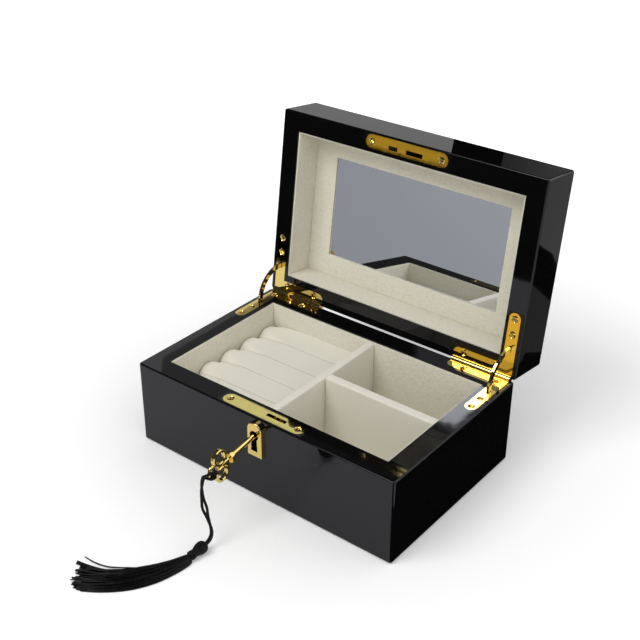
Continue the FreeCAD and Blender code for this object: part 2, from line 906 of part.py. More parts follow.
# Key, drawn about the keyhole with its shank along Y, then drooped
def key():
    """Key in one piece: bit, shank, two collars and a bow of two rimmed rings and a smaller one."""
    shank_end = S.key_outside
    shoulder = shank_end + S.key_collar_length
    bow_start = shoulder + S.key_shoulder_length
    flank = bow_start + S.bow_reach
    tip = flank + S.bow_tip_step
    half = S.bow_plate_thickness / 2
    rim_outer = S.bow_ring_radius + S.bow_rim_width / 2
    bit_end = S.key_inside - S.key_bit_margin
    bit_half = S.key_bit_thickness / 2
    web = [
        (-tip, as_size(0)),
        (-flank, -S.bow_spread),
        (rim_outer - flank, -S.bow_spread),
        (-bow_start, -S.key_collar_radius),
        (-bow_start, S.key_collar_radius),
        (rim_outer - flank, S.bow_spread),
        (-flank, S.bow_spread),
    ]
    plate = [prism("key_web", "YZ_Plane", web, -half, half)]
    rings = [
        (-flank, S.bow_spread, S.bow_ring_radius),
        (-flank, -S.bow_spread, S.bow_ring_radius),
        (-tip, as_size(0), S.bow_tip_radius),
    ]
    holes = []
    for number, (y, z, radius) in enumerate(rings):
        label = "key_ring_%d" % number
        plate.append(cylinder(label + "_disc", "x", (-half, y, z), radius, half * 2))
        hole_radius = radius - S.bow_tip_wire / 2
        holes.append(cylinder(label + "_hole", "x", (-half - PAST, y, z), hole_radius, half * 2 + 2 * PAST))
    rounds = [
        bow_rim("key_rim_upper", -flank, S.bow_spread),
        bow_rim("key_rim_lower", -flank, -S.bow_spread),
        torus("key_rim_tip", (0, -tip, 0), S.bow_tip_radius, S.bow_tip_wire, ALONG["x"]),
    ]
    stem_length = flank - S.bow_rim_width / 2 - bow_start
    pieces = rounds + [
        cut("key_bow_plate", fuse("key_bow_blank", plate), holes),
        cylinder("key_shank", "y", (0, -shank_end, 0), S.key_shank_radius, shank_end + S.key_inside),
        cylinder("key_collar", "y", (0, -shoulder, 0), S.key_collar_radius, S.key_collar_length),
        cylinder("key_shoulder", "y", (0, -bow_start, 0), S.key_shoulder_radius, S.key_shoulder_length),
        cylinder("key_stem", "y", (0, -bow_start - stem_length, 0), S.key_shank_radius, stem_length),
        box(
            "key_bit",
            (-bit_half, bit_half),
            (bit_end - S.key_bit_width, bit_end),
            (-S.key_bit_length, 0),
        ),
    ]
    tilt_room = S.drill_pin_entry / 2 * sine(S.key_droop)
    bore_radius = S.drill_pin_radius + tilt_room + S.drill_pin_play
    bore_start = (0, S.key_inside - S.key_bore_depth, 0)
    bore = cylinder("key_bore", "y", bore_start, bore_radius, S.key_bore_depth + PAST)
    node(droop(cut("key", fuse("key_blank", pieces), [bore])))
    cord_hitch(tip)


def bow_rim(name, y, z):
    """A flat ring with bevelled edges about a hole of the bow."""
    inner = S.bow_ring_radius - S.bow_rim_width / 2
    outer = S.bow_ring_radius + S.bow_rim_width / 2
    half = S.bow_rim_thickness / 2
    bevel = S.bow_rim_bevel
    corners = [
        (inner + bevel, -half),
        (outer - bevel, -half),
        (outer, bevel - half),
        (outer, half - bevel),
        (outer - bevel, half),
        (inner + bevel, half),
        (inner, half - bevel),
        (inner, bevel - half),
    ]
    return place(turned_body(name, corners), 0, y, z, ALONG["x"])


def droop(thing):
    """Places a piece of the key in the keyhole, tilted by its play in the lock."""
    rotation = Rotation(Vector(1, 0, 0), S.key_droop.value)
    place(thing, 0, key_y, key_z, rotation)
    bind(thing, "Placement.Rotation.Angle", S.key_droop)
    return thing


def cord_hitch(tip):
    """Turns of cord round the bow's end ring, and the knot in the ring's opening."""
    wrap = S.bow_tip_wire + S.hitch_wire + S.hitch_gap
    turns = []
    for number in range(HITCH_TURNS):
        angle = HITCH_FIRST_ANGLE + HITCH_STEP_ANGLE * number
        y = -tip - S.bow_tip_radius * cosine(angle)
        z = -S.bow_tip_radius * sine(angle)
        lean = Rotation(Vector(1, 0, 0), angle).multiply(Rotation(Vector(0, 0, 1), 90))
        turns.append(torus("hitch_turn_%d" % number, (0, y, z), wrap, S.hitch_wire, lean))
    turns.append(sphere("hitch_knot", (0, -tip, -S.hitch_knot_drop), S.hitch_knot_radius))
    node(droop(fuse("cord_hitch", turns)))


# Walls
SIDES = {
    "front": (0, 0, -1),
    "right": (90, 1, 0),
    "back": (180, 0, 1),
    "left": (-90, -1, 0),
}


def wall(name, side, thickness, low, high):
    """One wall, drawn along X with its outer face at Y 0, mitred at its ends, and turned into place."""
    turn, step_x, step_y = SIDES[side]
    half = half_width if step_x == 0 else half_depth
    corner = S.corner_round
    share = corner * (1 - math.sqrt(0.5))
    corners = [
        (share - half, share),
        (corner - half, 0),
        (half - corner, 0),
        (half - share, share),
        (half - thickness, thickness),
        (thickness - half, thickness),
    ]
    arcs = {0: (corner - half, corner, 1), 2: (half - corner, corner, 1)}
    body = prism(name + "_blank", "XY_Plane", corners, low, high, arcs)
    near = (low.value + 0.01, high.value - 0.01)
    round_edges(
        body,
        S.edge_round,
        lambda middle: middle.y < corner.value and not near[0] < middle.z < near[1],
    )
    return place(
        body, half_width * step_x, half_depth * step_y, 0, Rotation(Vector(0, 0, 1), turn)
    )


def base_walls(cuts):
    for side, tools in cuts.items():
        name = "base_%s_wall" % side
        blank = wall(name, side, S.base_wall, S.felt_thickness, rim)
        node(cut(name, blank, tools))


def lid_walls(cuts):
    for side, tools in cuts.items():
        name = "lid_%s_wall" % side
        blank = wall(name, side, S.lid_wall, lid_rim, lid_top)
        lid_node(cut(name, blank, tools))


# Floor and linings
def base_boards():
    felt_x = half_width - S.felt_inset
    felt_y = half_depth - S.felt_inset
    node(block("underside_felt", (-felt_x, felt_x), (-felt_y, felt_y), (0, S.felt_thickness)))
    node(
        block(
            "base_floor_panel", (-inner_x, inner_x), (-inner_y, inner_y), (S.felt_thickness, floor_z)
        )
    )
    node(
        block(
            "base_liner_floor", (-inner_x, inner_x), (-inner_y, inner_y), (floor_z, lined_floor_z)
        )
    )


def liners(prefix, reach_x, reach_y, low, high, keep):
    """Four lining cards inside the walls."""
    card = S.liner_thickness
    across = (-reach_x, reach_x)
    along = (card - reach_y, reach_y - card)
    height = (low, high)
    keep(block(prefix + "_liner_front", across, (-reach_y, card - reach_y), height))
    keep(block(prefix + "_liner_back", across, (reach_y - card, reach_y), height))
    keep(block(prefix + "_liner_left", (-reach_x, card - reach_x), along, height))
    keep(block(prefix + "_liner_right", (reach_x - card, reach_x), along, height))


def padded_wall(name, role, centre, thickness, low, high, start, end):
    """A standing divider with a full round top."""
    half = thickness / 2
    corners = [
        (centre - half, low),
        (centre + half, low),
        (centre + half, high - half),
        (centre - half, high - half),
    ]
    return prism(name, role, corners, start, end, {2: (centre, high - half, 1)})


def dividers():
    top = rim - S.divider_drop
    gap = S.soft_gap
    node(
        padded_wall(
            "centre_divider", "XZ_Plane", as_size(0), S.divider_thickness,
            lined_floor_z, top, gap - lined_y, lined_y - gap,
        )
    )
    node(
        padded_wall(
            "cross_divider", "YZ_Plane", S.cross_divider_shift, S.cross_divider_thickness,
            lined_floor_z, top, S.divider_thickness / 2 + gap, lined_x - gap,
        )
    )


def ring_roll(name, left, right, radius, y, z, flat_z):
    """A long roll along X with soft round ends, flat where it rests on its bed."""
    round_radius = S.roll_end_round
    body = doc.addObject("PartDesign::Body", name + "_round")
    sketch = sketch_on(body, name + "_profile", "XZ_Plane")
    shoulder = radius - round_radius
    near = left + round_radius
    far = right - round_radius
    corners = [(left, 0), (right, 0), (right, shoulder), (far, radius), (near, radius), (left, shoulder)]
    draw_outline(sketch, corners, {2: (far, shoulder, 1), 4: (near, shoulder, 1)})
    turned = body.newObject("PartDesign::Revolution", name + "_turned")
    turned.Profile = sketch
    turned.ReferenceAxis = (sketch, ["H_Axis"])
    turned.Angle = 360
    place(body, 0, y, z)
    side = radius + PAST
    below = box(name + "_below", (left - PAST, right + PAST), (y - side, y + side), (z - side, flat_z))
    node(cut(name, body, [below]))


def ring_rolls():
    """Soft rolls side by side on a foam bed in the left half."""
    gap = S.soft_gap
    left = gap - lined_x
    right = -S.divider_thickness / 2 - gap
    radius = ((lined_y - gap) * 2 - S.roll_gap * (ROLL_COUNT - 1)) / (ROLL_COUNT * 2)
    pitch = radius * 2 + S.roll_gap
    centre_z = rim - S.roll_drop - radius
    bed_top = centre_z - radius + S.roll_flat
    node(
        block(
            "ring_bed", (left, right), (gap - lined_y, lined_y - gap), (lined_floor_z, bed_top)
        )
    )
    for number in range(ROLL_COUNT):
        y = pitch * (number - (ROLL_COUNT - 1) / 2)
        ring_roll("ring_roll_%d" % (number + 1), left, right, radius, y, centre_z, bed_top)


# Lid
def lid_boards():
    """Top panel and the mirror with the card round it and the board behind it."""
    reach_x = half_width - S.lid_wall
    reach_y = half_depth - S.lid_wall
    panel_low = lid_top - S.lid_panel_thickness
    lid_node(
        block("lid_top_panel", (-reach_x, reach_x), (-reach_y, reach_y), (panel_low, lid_top))
    )
    liners("lid", reach_x, reach_y, lid_rim + S.liner_drop, panel_low, lid_node)
    card_x = reach_x - S.liner_thickness
    card_y = reach_y - S.liner_thickness
    face = lid_rim + S.mirror_depth
    glass_low = face + S.surround_thickness
    glass_high = glass_low + S.glass_thickness
    open_x = S.window_width / 2
    open_y = S.window_height / 2
    glass_x = open_x + S.glass_lap
    glass_y = open_y + S.glass_lap
    middle = S.window_shift
    window = box(
        "mirror_window", (-open_x, open_x), (middle - open_y, middle + open_y),
        (face - PAST, glass_low + PAST),
    )
    card = block("mirror_card", (-card_x, card_x), (-card_y, card_y), (face, glass_low))
    lid_node(cut("mirror_surround", card, [window]))
    spread = (middle - glass_y, middle + glass_y)
    lid_node(block("mirror_glass", (-glass_x, glass_x), spread, (glass_low, glass_high)))
    board = block("mirror_board", (-card_x, card_x), (-card_y, card_y), (glass_low, panel_low))
    seat = box("mirror_seat", (-glass_x, glass_x), spread, (glass_low - PAST, glass_high))
    lid_node(cut("mirror_carrier", board, [seat]))


# Cord and tassel
def cord_path(route):
    """Straight runs joined by tangent arcs; returns the edges, their length and the radii."""
    points = [Vector(*point) for point in route]
    starts = [points[0]]
    stops = []
    arcs = []
    radii = []
    for before, corner, after in zip(points, points[1:], points[2:]):
        incoming = (corner - before).normalize()
        outgoing = (after - corner).normalize()
        turn = incoming.getAngle(outgoing)
        shorter = min((corner - before).Length, (after - corner).Length)
        setback = BEND_SHARE * shorter
        radius = setback / math.tan(turn / 2)
        inward = (outgoing - incoming).normalize()
        centre = corner + inward * (radius / math.cos(turn / 2))
        first = corner - incoming * setback
        last = corner + outgoing * setback
        stops.append(first)
        arcs.append(Part.Arc(first, centre - inward * radius, last).toShape())
        starts.append(last)
        radii.append(radius)
    stops.append(points[-1])
    edges = []
    for number, (start, stop) in enumerate(zip(starts, stops)):
        edges.append(Part.LineSegment(start, stop).toShape())
        if number < len(arcs):
            edges.append(arcs[number])
    return edges, radii


def tassel_cord():
    """The cord as a tube from the bow to the tassel's head."""
    edges, radii = cord_path(CORD_ROUTE)
    path = Part.Wire(edges)
    radius = sheet.get("cord_diameter") / 2
    start = Vector(*CORD_ROUTE[0])
    ring = Part.Wire(Part.Circle(start, Vector(*CORD_ROUTE[1]) - start, radius).toShape())
    tube = path.makePipeShell([ring], True, False)
    length = sum(edge.Length for edge in edges)
    print("cord length %.1f, radii %s" % (length, " ".join("%.1f" % value for value in radii)))
    print("cord volume %.2f, section times length %.2f" % (tube.Volume, math.pi * radius**2 * length))
    thing = doc.addObject("Part::Feature", "tassel_cord")
    thing.Shape = tube
    node(thing)


def tassel_head():
    """The bound head: a round bulb, its neck and the band above the skirt, along the tassel's axis."""
    start = Vector(*CORD_ROUTE[-1])
    axis = Vector(*TASSEL_NECK) - start
    radius = S.head_radius
    top = S.head_top_radius
    bulb = sphere("head_bulb", (0, 0, radius), radius)
    crown = cylinder("head_crown", "z", (0, 0, 0), top, radius)
    neck = cylinder("head_neck", "z", (0, 0, radius), S.neck_radius, S.neck_end - radius)
    band = cylinder("head_band", "z", (0, 0, S.neck_end), S.band_radius, S.band_length)
    head = fuse("tassel_head", [bulb, crown, neck, band])
    head.Placement = Placement(start, Rotation(Vector(0, 0, 1), axis))
    node(head)


def skirt_section(middle, heading, width, height, lift):
    """A flat-bottomed section with a crowned top, square to the skirt's heading."""
    across = Vector(-heading.y, heading.x, 0).normalize()
    side_height = height * SKIRT_SIDE_SHARE
    low_left = Vector(middle[0], middle[1], lift) - across * (width / 2)
    low_right = Vector(middle[0], middle[1], lift) + across * (width / 2)
    up = Vector(0, 0, 1)
    high_left = low_left + up * side_height
    high_right = low_right + up * side_height
    crown = Vector(middle[0], middle[1], lift + height)
    return Part.Wire([
        Part.LineSegment(low_left, low_right).toShape(),
        Part.LineSegment(low_right, high_right).toShape(),
        Part.Arc(high_right, crown, high_left).toShape(),
        Part.LineSegment(high_left, low_left).toShape(),
    ])


def tassel_skirt():
    """The skirt of threads lying on the table, as one soft solid that widens to its end."""
    lift = sheet.get("skirt_lift")
    neck = Vector(*TASSEL_NECK)
    start = Vector(*CORD_ROUTE[-1])
    band_end = sheet.get("neck_end") + sheet.get("band_length") + sheet.get("skirt_gap")
    top = start + (neck - start).normalize() * band_end
    band = sheet.get("band_radius")
    stations = [((top.x, top.y), band * 2, top.z + band - lift)] + SKIRT_STATIONS
    middles = [Vector(spot[0], spot[1], 0) for spot, width, height in stations]
    sections = []
    for number, (spot, width, height) in enumerate(stations):
        before = middles[max(number - 1, 0)]
        after = middles[min(number + 1, len(middles) - 1)]
        heading = after - before
        if number == 0:
            heading = neck - start
        sections.append(skirt_section(spot, heading, width, height, lift))
    thing = doc.addObject("Part::Feature", "tassel_skirt")
    thing.Shape = Part.makeLoft(sections, True, False)
    node(thing)


# Putting the box together
right_base, right_lid = hinge("right", 1)
left_base, left_lid = hinge("left", -1)
front_base = lock_plate() + lock_case()
front_lid = striker()
lock_hook()
lock_drill_pin()
escutcheon()
key()
base_walls({
    "front": front_base,
    "back": left_base + right_base,
    "left": left_base,
    "right": right_base,
})
lid_walls({
    "front": front_lid,
    "back": left_lid + right_lid,
    "left": left_lid,
    "right": right_lid,
})
base_boards()
liners("base", inner_x, inner_y, lined_floor_z, rim - S.liner_drop, node)
dividers()
ring_rolls()
lid_boards()
tassel_cord()
tassel_head()
tassel_skirt()
doc.recompute()

# Everything is checked before anything is written
for thing in doc.Objects:
    if "Invalid" in thing.State or "Error" in thing.State:
        raise RuntimeError("%s is %s" % (thing.Label, thing.State))
for thing in NODES:
    if thing.Shape.isNull() or not thing.Shape.isValid():
        raise RuntimeError("%s has no valid shape" % thing.Label)

os.makedirs("parts", exist_ok=True)
for thing in NODES:
    thing.Shape.exportStep("parts/%s.step" % thing.Label)
print("%d nodes" % len(NODES))
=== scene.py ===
import json
import math
import random

import bmesh
import bpy
from mathutils import Matrix, Vector


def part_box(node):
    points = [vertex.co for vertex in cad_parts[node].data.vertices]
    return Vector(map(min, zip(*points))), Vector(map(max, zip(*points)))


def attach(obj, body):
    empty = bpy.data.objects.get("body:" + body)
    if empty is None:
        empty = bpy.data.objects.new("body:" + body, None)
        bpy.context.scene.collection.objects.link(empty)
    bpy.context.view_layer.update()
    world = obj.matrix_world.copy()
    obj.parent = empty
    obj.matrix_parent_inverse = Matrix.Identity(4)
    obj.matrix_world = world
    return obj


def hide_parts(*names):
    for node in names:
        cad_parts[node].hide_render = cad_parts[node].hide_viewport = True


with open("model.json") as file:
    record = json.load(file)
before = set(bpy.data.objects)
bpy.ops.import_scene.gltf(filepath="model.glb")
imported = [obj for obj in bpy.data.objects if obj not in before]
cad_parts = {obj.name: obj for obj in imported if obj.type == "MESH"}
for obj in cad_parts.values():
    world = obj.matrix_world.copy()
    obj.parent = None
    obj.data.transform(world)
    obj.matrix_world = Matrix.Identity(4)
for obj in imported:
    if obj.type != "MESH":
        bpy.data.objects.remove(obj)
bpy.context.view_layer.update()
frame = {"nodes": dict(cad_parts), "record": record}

MM = 0.001
NODES = frame["nodes"]


# Camera, at the viewing angle of the photograph
AZIMUTH = math.radians(38.070)
ELEVATION = math.radians(29.529)
ROLL = math.radians(0.335)
CAMERA_SPOT = Vector((0.3713, -0.4787, 0.4403))
SENSOR_MM = 36
LENS_MM = 63.45
NEAREST_SEEN = 0.01


def make_camera():
    """A camera without shift or depth of field."""
    data = bpy.data.cameras.new("camera")
    data.lens = LENS_MM
    data.sensor_width = SENSOR_MM
    data.clip_start = NEAREST_SEEN
    camera = bpy.data.objects.new("camera", data)
    bpy.context.collection.objects.link(camera)
    level = math.cos(ELEVATION)
    ahead = Vector((-math.sin(AZIMUTH) * level, math.cos(AZIMUTH) * level, -math.sin(ELEVATION)))
    right = Vector((math.cos(AZIMUTH), math.sin(AZIMUTH), 0))
    up = right.cross(ahead)
    turned_right = right * math.cos(ROLL) + up * math.sin(ROLL)
    turned_up = up * math.cos(ROLL) - right * math.sin(ROLL)
    axes = Matrix((turned_right, turned_up, -ahead)).transposed()
    camera.matrix_world = Matrix.Translation(CAMERA_SPOT) @ axes.to_4x4()
    bpy.context.scene.camera = camera


# Mesh and curve helpers
ROUTE_RESOLUTION = 24
TAPER_SHARE = 0.2


def new_object(name, mesh):
    """A new object of the scene with this mesh."""
    thing = bpy.data.objects.new(name, mesh)
    bpy.context.collection.objects.link(thing)
    return thing


def finish_mesh(name, bm):
    """A smooth-shaded object made of a mesh in the works."""
    mesh = bpy.data.meshes.new(name)
    bm.normal_update()
    bm.to_mesh(mesh)
    bm.free()
    for face in mesh.polygons:
        face.use_smooth = True
    return new_object(name, mesh)


def route_line(points):
    """Points along the smooth NURBS line that has these control points."""
    curve = bpy.data.curves.new("route", "CURVE")
    curve.dimensions = "3D"
    curve.resolution_u = ROUTE_RESOLUTION
    spline = curve.splines.new("NURBS")
    spline.points.add(len(points) - 1)
    for knot, point in zip(spline.points, points):
        knot.co = (*point, 1)
    spline.order_u = 3
    spline.use_endpoint_u = True
    carrier = bpy.data.objects.new("route", curve)
    mesh = bpy.data.meshes.new_from_object(carrier)
    line = [vertex.co.copy() for vertex in mesh.vertices]
    bpy.data.objects.remove(carrier)
    bpy.data.curves.remove(curve)
    bpy.data.meshes.remove(mesh)
    return line


def evenly(line, step):
    """The line again, with points an even step apart."""
    along = [0.0]
    for before, after in zip(line, line[1:]):
        along.append(along[-1] + (after - before).length)
    count = max(2, round(along[-1] / step) + 1)
    spaced = []
    place = 0
    for number in range(count):
        want = along[-1] * number / (count - 1)
        while place < len(line) - 2 and along[place + 1] < want:
            place += 1
        span = max(along[place + 1] - along[place], 1e-12)
        share = (want - along[place]) / span
        spaced.append(line[place].lerp(line[place + 1], min(max(share, 0), 1)))
    return spaced


def carried_frames(line, first_side=Vector((0, 0, 1))):
    """Two directions across the line at each point, carried along it without a twist."""
    frames = []
    side = first_side
    for number, point in enumerate(line):
        after = line[min(number + 1, len(line) - 1)]
        before = line[max(number - 1, 0)]
        ahead = (after - before).normalized()
        side = side - ahead * side.dot(ahead)
        if side.length < 1e-6:
            side = ahead.orthogonal()
        side.normalize()
        frames.append((side.copy(), ahead.cross(side)))
    return frames


def around(side, across, angle):
    """The direction at an angle, from two directions that are square to each other."""
    return side * math.cos(angle) + across * math.sin(angle)


def add_ring(bm, middle, side, across, radius, sides):
    """A round ring of points."""
    ring = []
    for step in range(sides):
        ring.append(bm.verts.new(middle + around(side, across, math.tau * step / sides) * radius))
    return ring


def close_rings(bm, rings):
    """Faces from each ring to the next, and one over each end."""
    count = len(rings[0])
    for before, after in zip(rings, rings[1:]):
        for step in range(count):
            following = (step + 1) % count
            bm.faces.new((before[step], before[following], after[following], after[step]))
    bm.faces.new(tuple(reversed(rings[0])))
    bm.faces.new(tuple(rings[-1]))


def add_tube(bm, line, radius, sides=6, taper=0.0):
    """A tube round a line, closed at both ends, whose last part thins by taper."""
    rings = []
    for number, (point, (side, across)) in enumerate(zip(line, carried_frames(line))):
        near_end = max(0.0, number / (len(line) - 1) - (1 - TAPER_SHARE)) / TAPER_SHARE
        rings.append(add_ring(bm, point, side, across, radius * (1 - taper * near_end), sides))
    close_rings(bm, rings)


def ply_lines(line, offset, pitch, plies=2, phase=0.0):
    """The lines of the plies that twist round each other along a line."""
    frames = carried_frames(line)
    lines = [[] for ply in range(plies)]
    travelled = 0.0
    for number, (point, (side, across)) in enumerate(zip(line, frames)):
        if number:
            travelled += (point - line[number - 1]).length
        for ply in range(plies):
            angle = phase + math.tau * (travelled / pitch + ply / plies)
            lines[ply].append(point + around(side, across, angle) * offset)
    return lines


# Node helpers
class Tree:
    """The nodes and links of a material or of the world."""

    def __init__(self, owner):
        owner.use_nodes = True
        self.tree = owner.node_tree
        self.tree.nodes.clear()

    def node(self, kind, **settings):
        made = self.tree.nodes.new("ShaderNode" + kind)
        for name, value in settings.items():
            setattr(made, name, value)
        return made

    def link(self, source, target):
        self.tree.links.new(source, target)

    def feed(self, socket, value):
        """Links a socket, or sets its constant."""
        if isinstance(value, bpy.types.NodeSocket):
            self.link(value, socket)
        else:
            socket.default_value = value

    def fit(self, value, low, high, from_low=0, from_high=1):
        """A value moved from one range to another and held there."""
        made = self.node("MapRange", clamp=True)
        self.feed(made.inputs["Value"], value)
        made.inputs["From Min"].default_value = from_low
        made.inputs["From Max"].default_value = from_high
        made.inputs["To Min"].default_value = low
        made.inputs["To Max"].default_value = high
        return made.outputs["Result"]

    def math(self, operation, first, second=0.0, third=0.0):
        """A sum or product of values."""
        made = self.node("Math", operation=operation)
        self.feed(made.inputs[0], first)
        self.feed(made.inputs[1], second)
        self.feed(made.inputs[2], third)
        return made.outputs["Value"]

    def mix(self, share, first, second):
        """A value between two values."""
        made = self.node("Mix")
        self.feed(made.inputs["Factor"], share)
        self.feed(made.inputs["A"], first)
        self.feed(made.inputs["B"], second)
        return made.outputs["Result"]

    def blend(self, share, first, second):
        """A colour between two colours."""
        made = self.node("Mix", data_type="RGBA")
        self.feed(made.inputs["Factor"], share)
        self.feed(made.inputs[6], first)
        self.feed(made.inputs[7], second)
        return made.outputs[2]


class Surface(Tree):
    """One material with a principled shader, whose textures lie in the object's coordinates."""

    def __init__(self, name, **constants):
        self.material = bpy.data.materials.new(name)
        super().__init__(self.material)
        self.shader = self.node("BsdfPrincipled")
        self.link(self.shader.outputs["BSDF"], self.node("OutputMaterial").inputs["Surface"])
        self.place = self.node("TexCoord").outputs["Object"]
        self.set(**constants)

    def stretched(self, x=1, y=1, z=1, turn=(0, 0, 0)):
        """The object's coordinates, scaled and turned."""
        mapping = self.node("Mapping")
        self.link(self.place, mapping.inputs["Vector"])
        mapping.inputs["Scale"].default_value = (x, y, z)
        mapping.inputs["Rotation"].default_value = turn
        return mapping.outputs["Vector"]

    def noise(self, scale, detail=3, roughness=0.5, vector=None):
        """Cloudy noise from 0 to 1."""
        made = self.node("TexNoise")
        self.link(vector or self.place, made.inputs["Vector"])
        made.inputs["Scale"].default_value = scale
        made.inputs["Detail"].default_value = detail
        made.inputs["Roughness"].default_value = roughness
        return made.outputs["Fac"]

    def cells(self, scale):
        """Distance from the middles of rounded cells."""
        made = self.node("TexVoronoi", feature="SMOOTH_F1")
        self.link(self.place, made.inputs["Vector"])
        made.inputs["Scale"].default_value = scale
        return made.outputs["Distance"]

    def bump(self, height, distance, strength=1.0, below=None):
        """A normal from a height, laid over another normal if there is one."""
        made = self.node("Bump")
        self.link(height, made.inputs["Height"])
        made.inputs["Distance"].default_value = distance
        made.inputs["Strength"].default_value = strength
        if below is not None:
            self.link(below, made.inputs["Normal"])
        return made.outputs["Normal"]

    def set(self, **sources):
        """Sets or links the shader's sockets by name."""
        for name, source in sources.items():
            self.feed(self.shader.inputs[name.replace("_", " ")], source)
        return self.material


# Materials
def lacquer():
    """Black piano lacquer: nearly even, with a faint orange peel and polishing haze."""
    s = Surface("black_lacquer", Specular_IOR_Level=0.5, IOR=1.5, Specular_Tint=(0.76, 0.75, 0.84, 1))
    haze = s.noise(35, 4, 0.6)
    peel = s.noise(140, 2, 0.4)
    swell = s.noise(22, 1, 0.4)
    color = s.blend(haze, (0.0022, 0.0022, 0.0025, 1), (0.0042, 0.004, 0.0043, 1))
    fine = s.bump(peel, 0.000006)
    normal = s.bump(swell, 0.00004, below=fine)
    return s.set(Base_Color=color, Roughness=s.fit(haze, 0.02, 0.06), Normal=normal)


def gold():
    """Polished gold plate: soft tone changes and fine hairlines that cross."""
    s = Surface("gold_brass", Metallic=1.0)
    tone = s.noise(90, 3, 0.55)
    hairs = s.noise(900, 2, 0.6, s.stretched(1, 0.06, 1, (0, 0, 0.5)))
    cross_hairs = s.noise(700, 2, 0.6, s.stretched(0.05, 1, 0.4, (0.3, 0, 0.2)))
    color = s.blend(tone, (0.92, 0.69, 0.22, 1), (0.95, 0.745, 0.28, 1))
    worn = s.math("MULTIPLY", hairs, cross_hairs)
    fine = s.bump(worn, 0.000004, 0.5)
    normal = s.bump(s.noise(260, 2, 0.5), 0.000008, 0.4, fine)
    return s.set(Base_Color=color, Roughness=s.fit(worn, 0.025, 0.07, 0.15, 0.4), Normal=normal)


def leatherette():
    """Ivory leatherette with a pebbled grain of about a millimetre."""
    s = Surface("ivory_lining", Specular_IOR_Level=0.3, Sheen_Weight=0.15, Sheen_Roughness=0.5)
    pebbles = s.cells(620)
    small = s.noise(2600, 3, 0.6)
    wide = s.noise(40, 3, 0.5)
    pores = s.fit(pebbles, 0, 1, 0.15, 0.75)
    light = s.blend(wide, (0.735, 0.705, 0.590, 1), (0.775, 0.745, 0.635, 1))
    color = s.blend(s.fit(pores, 0.0, 0.3), light, (0.55, 0.51, 0.40, 1))
    grain = s.bump(pores, 0.00022, 0.8)
    normal = s.bump(small, 0.00004, 0.5, grain)
    return s.set(Base_Color=color, Roughness=s.fit(small, 0.55, 0.75), Normal=normal)


def soft_leatherette():
    """The smoother, suede-like cover of the ring rolls and the dividers."""
    s = Surface("ivory_padding", Specular_IOR_Level=0.25, Sheen_Weight=0.3, Sheen_Roughness=0.45)
    nap = s.noise(1700, 4, 0.65)
    wide = s.noise(55, 3, 0.5)
    color = s.blend(wide, (0.765, 0.738, 0.635, 1), (0.805, 0.78, 0.685, 1))
    mottled = s.blend(s.fit(nap, 0, 0.12), color, (0.6, 0.56, 0.45, 1))
    return s.set(Base_Color=mottled, Roughness=s.fit(nap, 0.65, 0.85), Normal=s.bump(nap, 0.00007, 0.6))


def silvered_glass():
    """Mirror silver behind clean glass, faintly blue."""
    s = Surface("mirror_silver", Metallic=1.0)
    film = s.noise(30, 3, 0.5)
    color = s.blend(film, (0.84, 0.87, 0.91, 1), (0.88, 0.9, 0.93, 1))
    return s.set(Base_Color=color, Roughness=s.fit(film, 0.0, 0.015), Normal=s.bump(film, 0.000004))


def board():
    """Raw grey-brown board with its fibres along one way."""
    s = Surface("backing_board", Roughness=0.9)
    fibres = s.noise(500, 5, 0.7, s.stretched(1, 0.3, 0.3))
    color = s.blend(fibres, (0.26, 0.21, 0.15, 1), (0.42, 0.36, 0.28, 1))
    return s.set(Base_Color=color, Normal=s.bump(fibres, 0.00008))


def felt():
    """Black felt with matted fibres."""
    s = Surface("black_felt", Sheen_Weight=0.5, Sheen_Roughness=0.6)
    fibres = s.noise(1400, 5, 0.75)
    color = s.blend(fibres, (0.008, 0.008, 0.009, 1), (0.035, 0.035, 0.038, 1))
    return s.set(Base_Color=color, Roughness=s.fit(fibres, 0.85, 1.0), Normal=s.bump(fibres, 0.0002))


def thread():
    """Black rayon thread: satin, with fine fuzz and slow changes of tone."""
    s = Surface("black_cord", Specular_IOR_Level=0.25)
    fuzz = s.noise(2400, 3, 0.6)
    wide = s.noise(160, 2, 0.5)
    color = s.blend(wide, (0.0012, 0.0013, 0.0015, 1), (0.003, 0.0032, 0.0038, 1))
    return s.set(Base_Color=color, Roughness=s.fit(fuzz, 0.2, 0.32), Normal=s.bump(fuzz, 0.00005))


MAKERS = {
    "black_lacquer": lacquer,
    "gold_brass": gold,
    "ivory_lining": leatherette,
    "ivory_padding": soft_leatherette,
    "mirror_silver": silvered_glass,
    "backing_board": board,
    "black_felt": felt,
    "black_cord": thread,
}
PAINTS = {slot: maker() for slot, maker in MAKERS.items()}
SLOT_OF = {part["node"]: part["material_slot"] for part in frame["record"]["subparts"]}


def paint(thing, slot):
    """Gives a new piece the material of a slot."""
    thing.data.materials.clear()
    thing.data.materials.append(PAINTS[slot])


def paint_frame():
    """Gives every carried-over node the material of its slot."""
    for name, thing in NODES.items():
        for number in range(len(thing.material_slots)):
            thing.material_slots[number].material = PAINTS[SLOT_OF[name]]


def stand_for(thing, node, body, slot):
    """Puts a new piece in the place of a node."""
    paint(thing, slot)
    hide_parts(node)
    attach(thing, body)


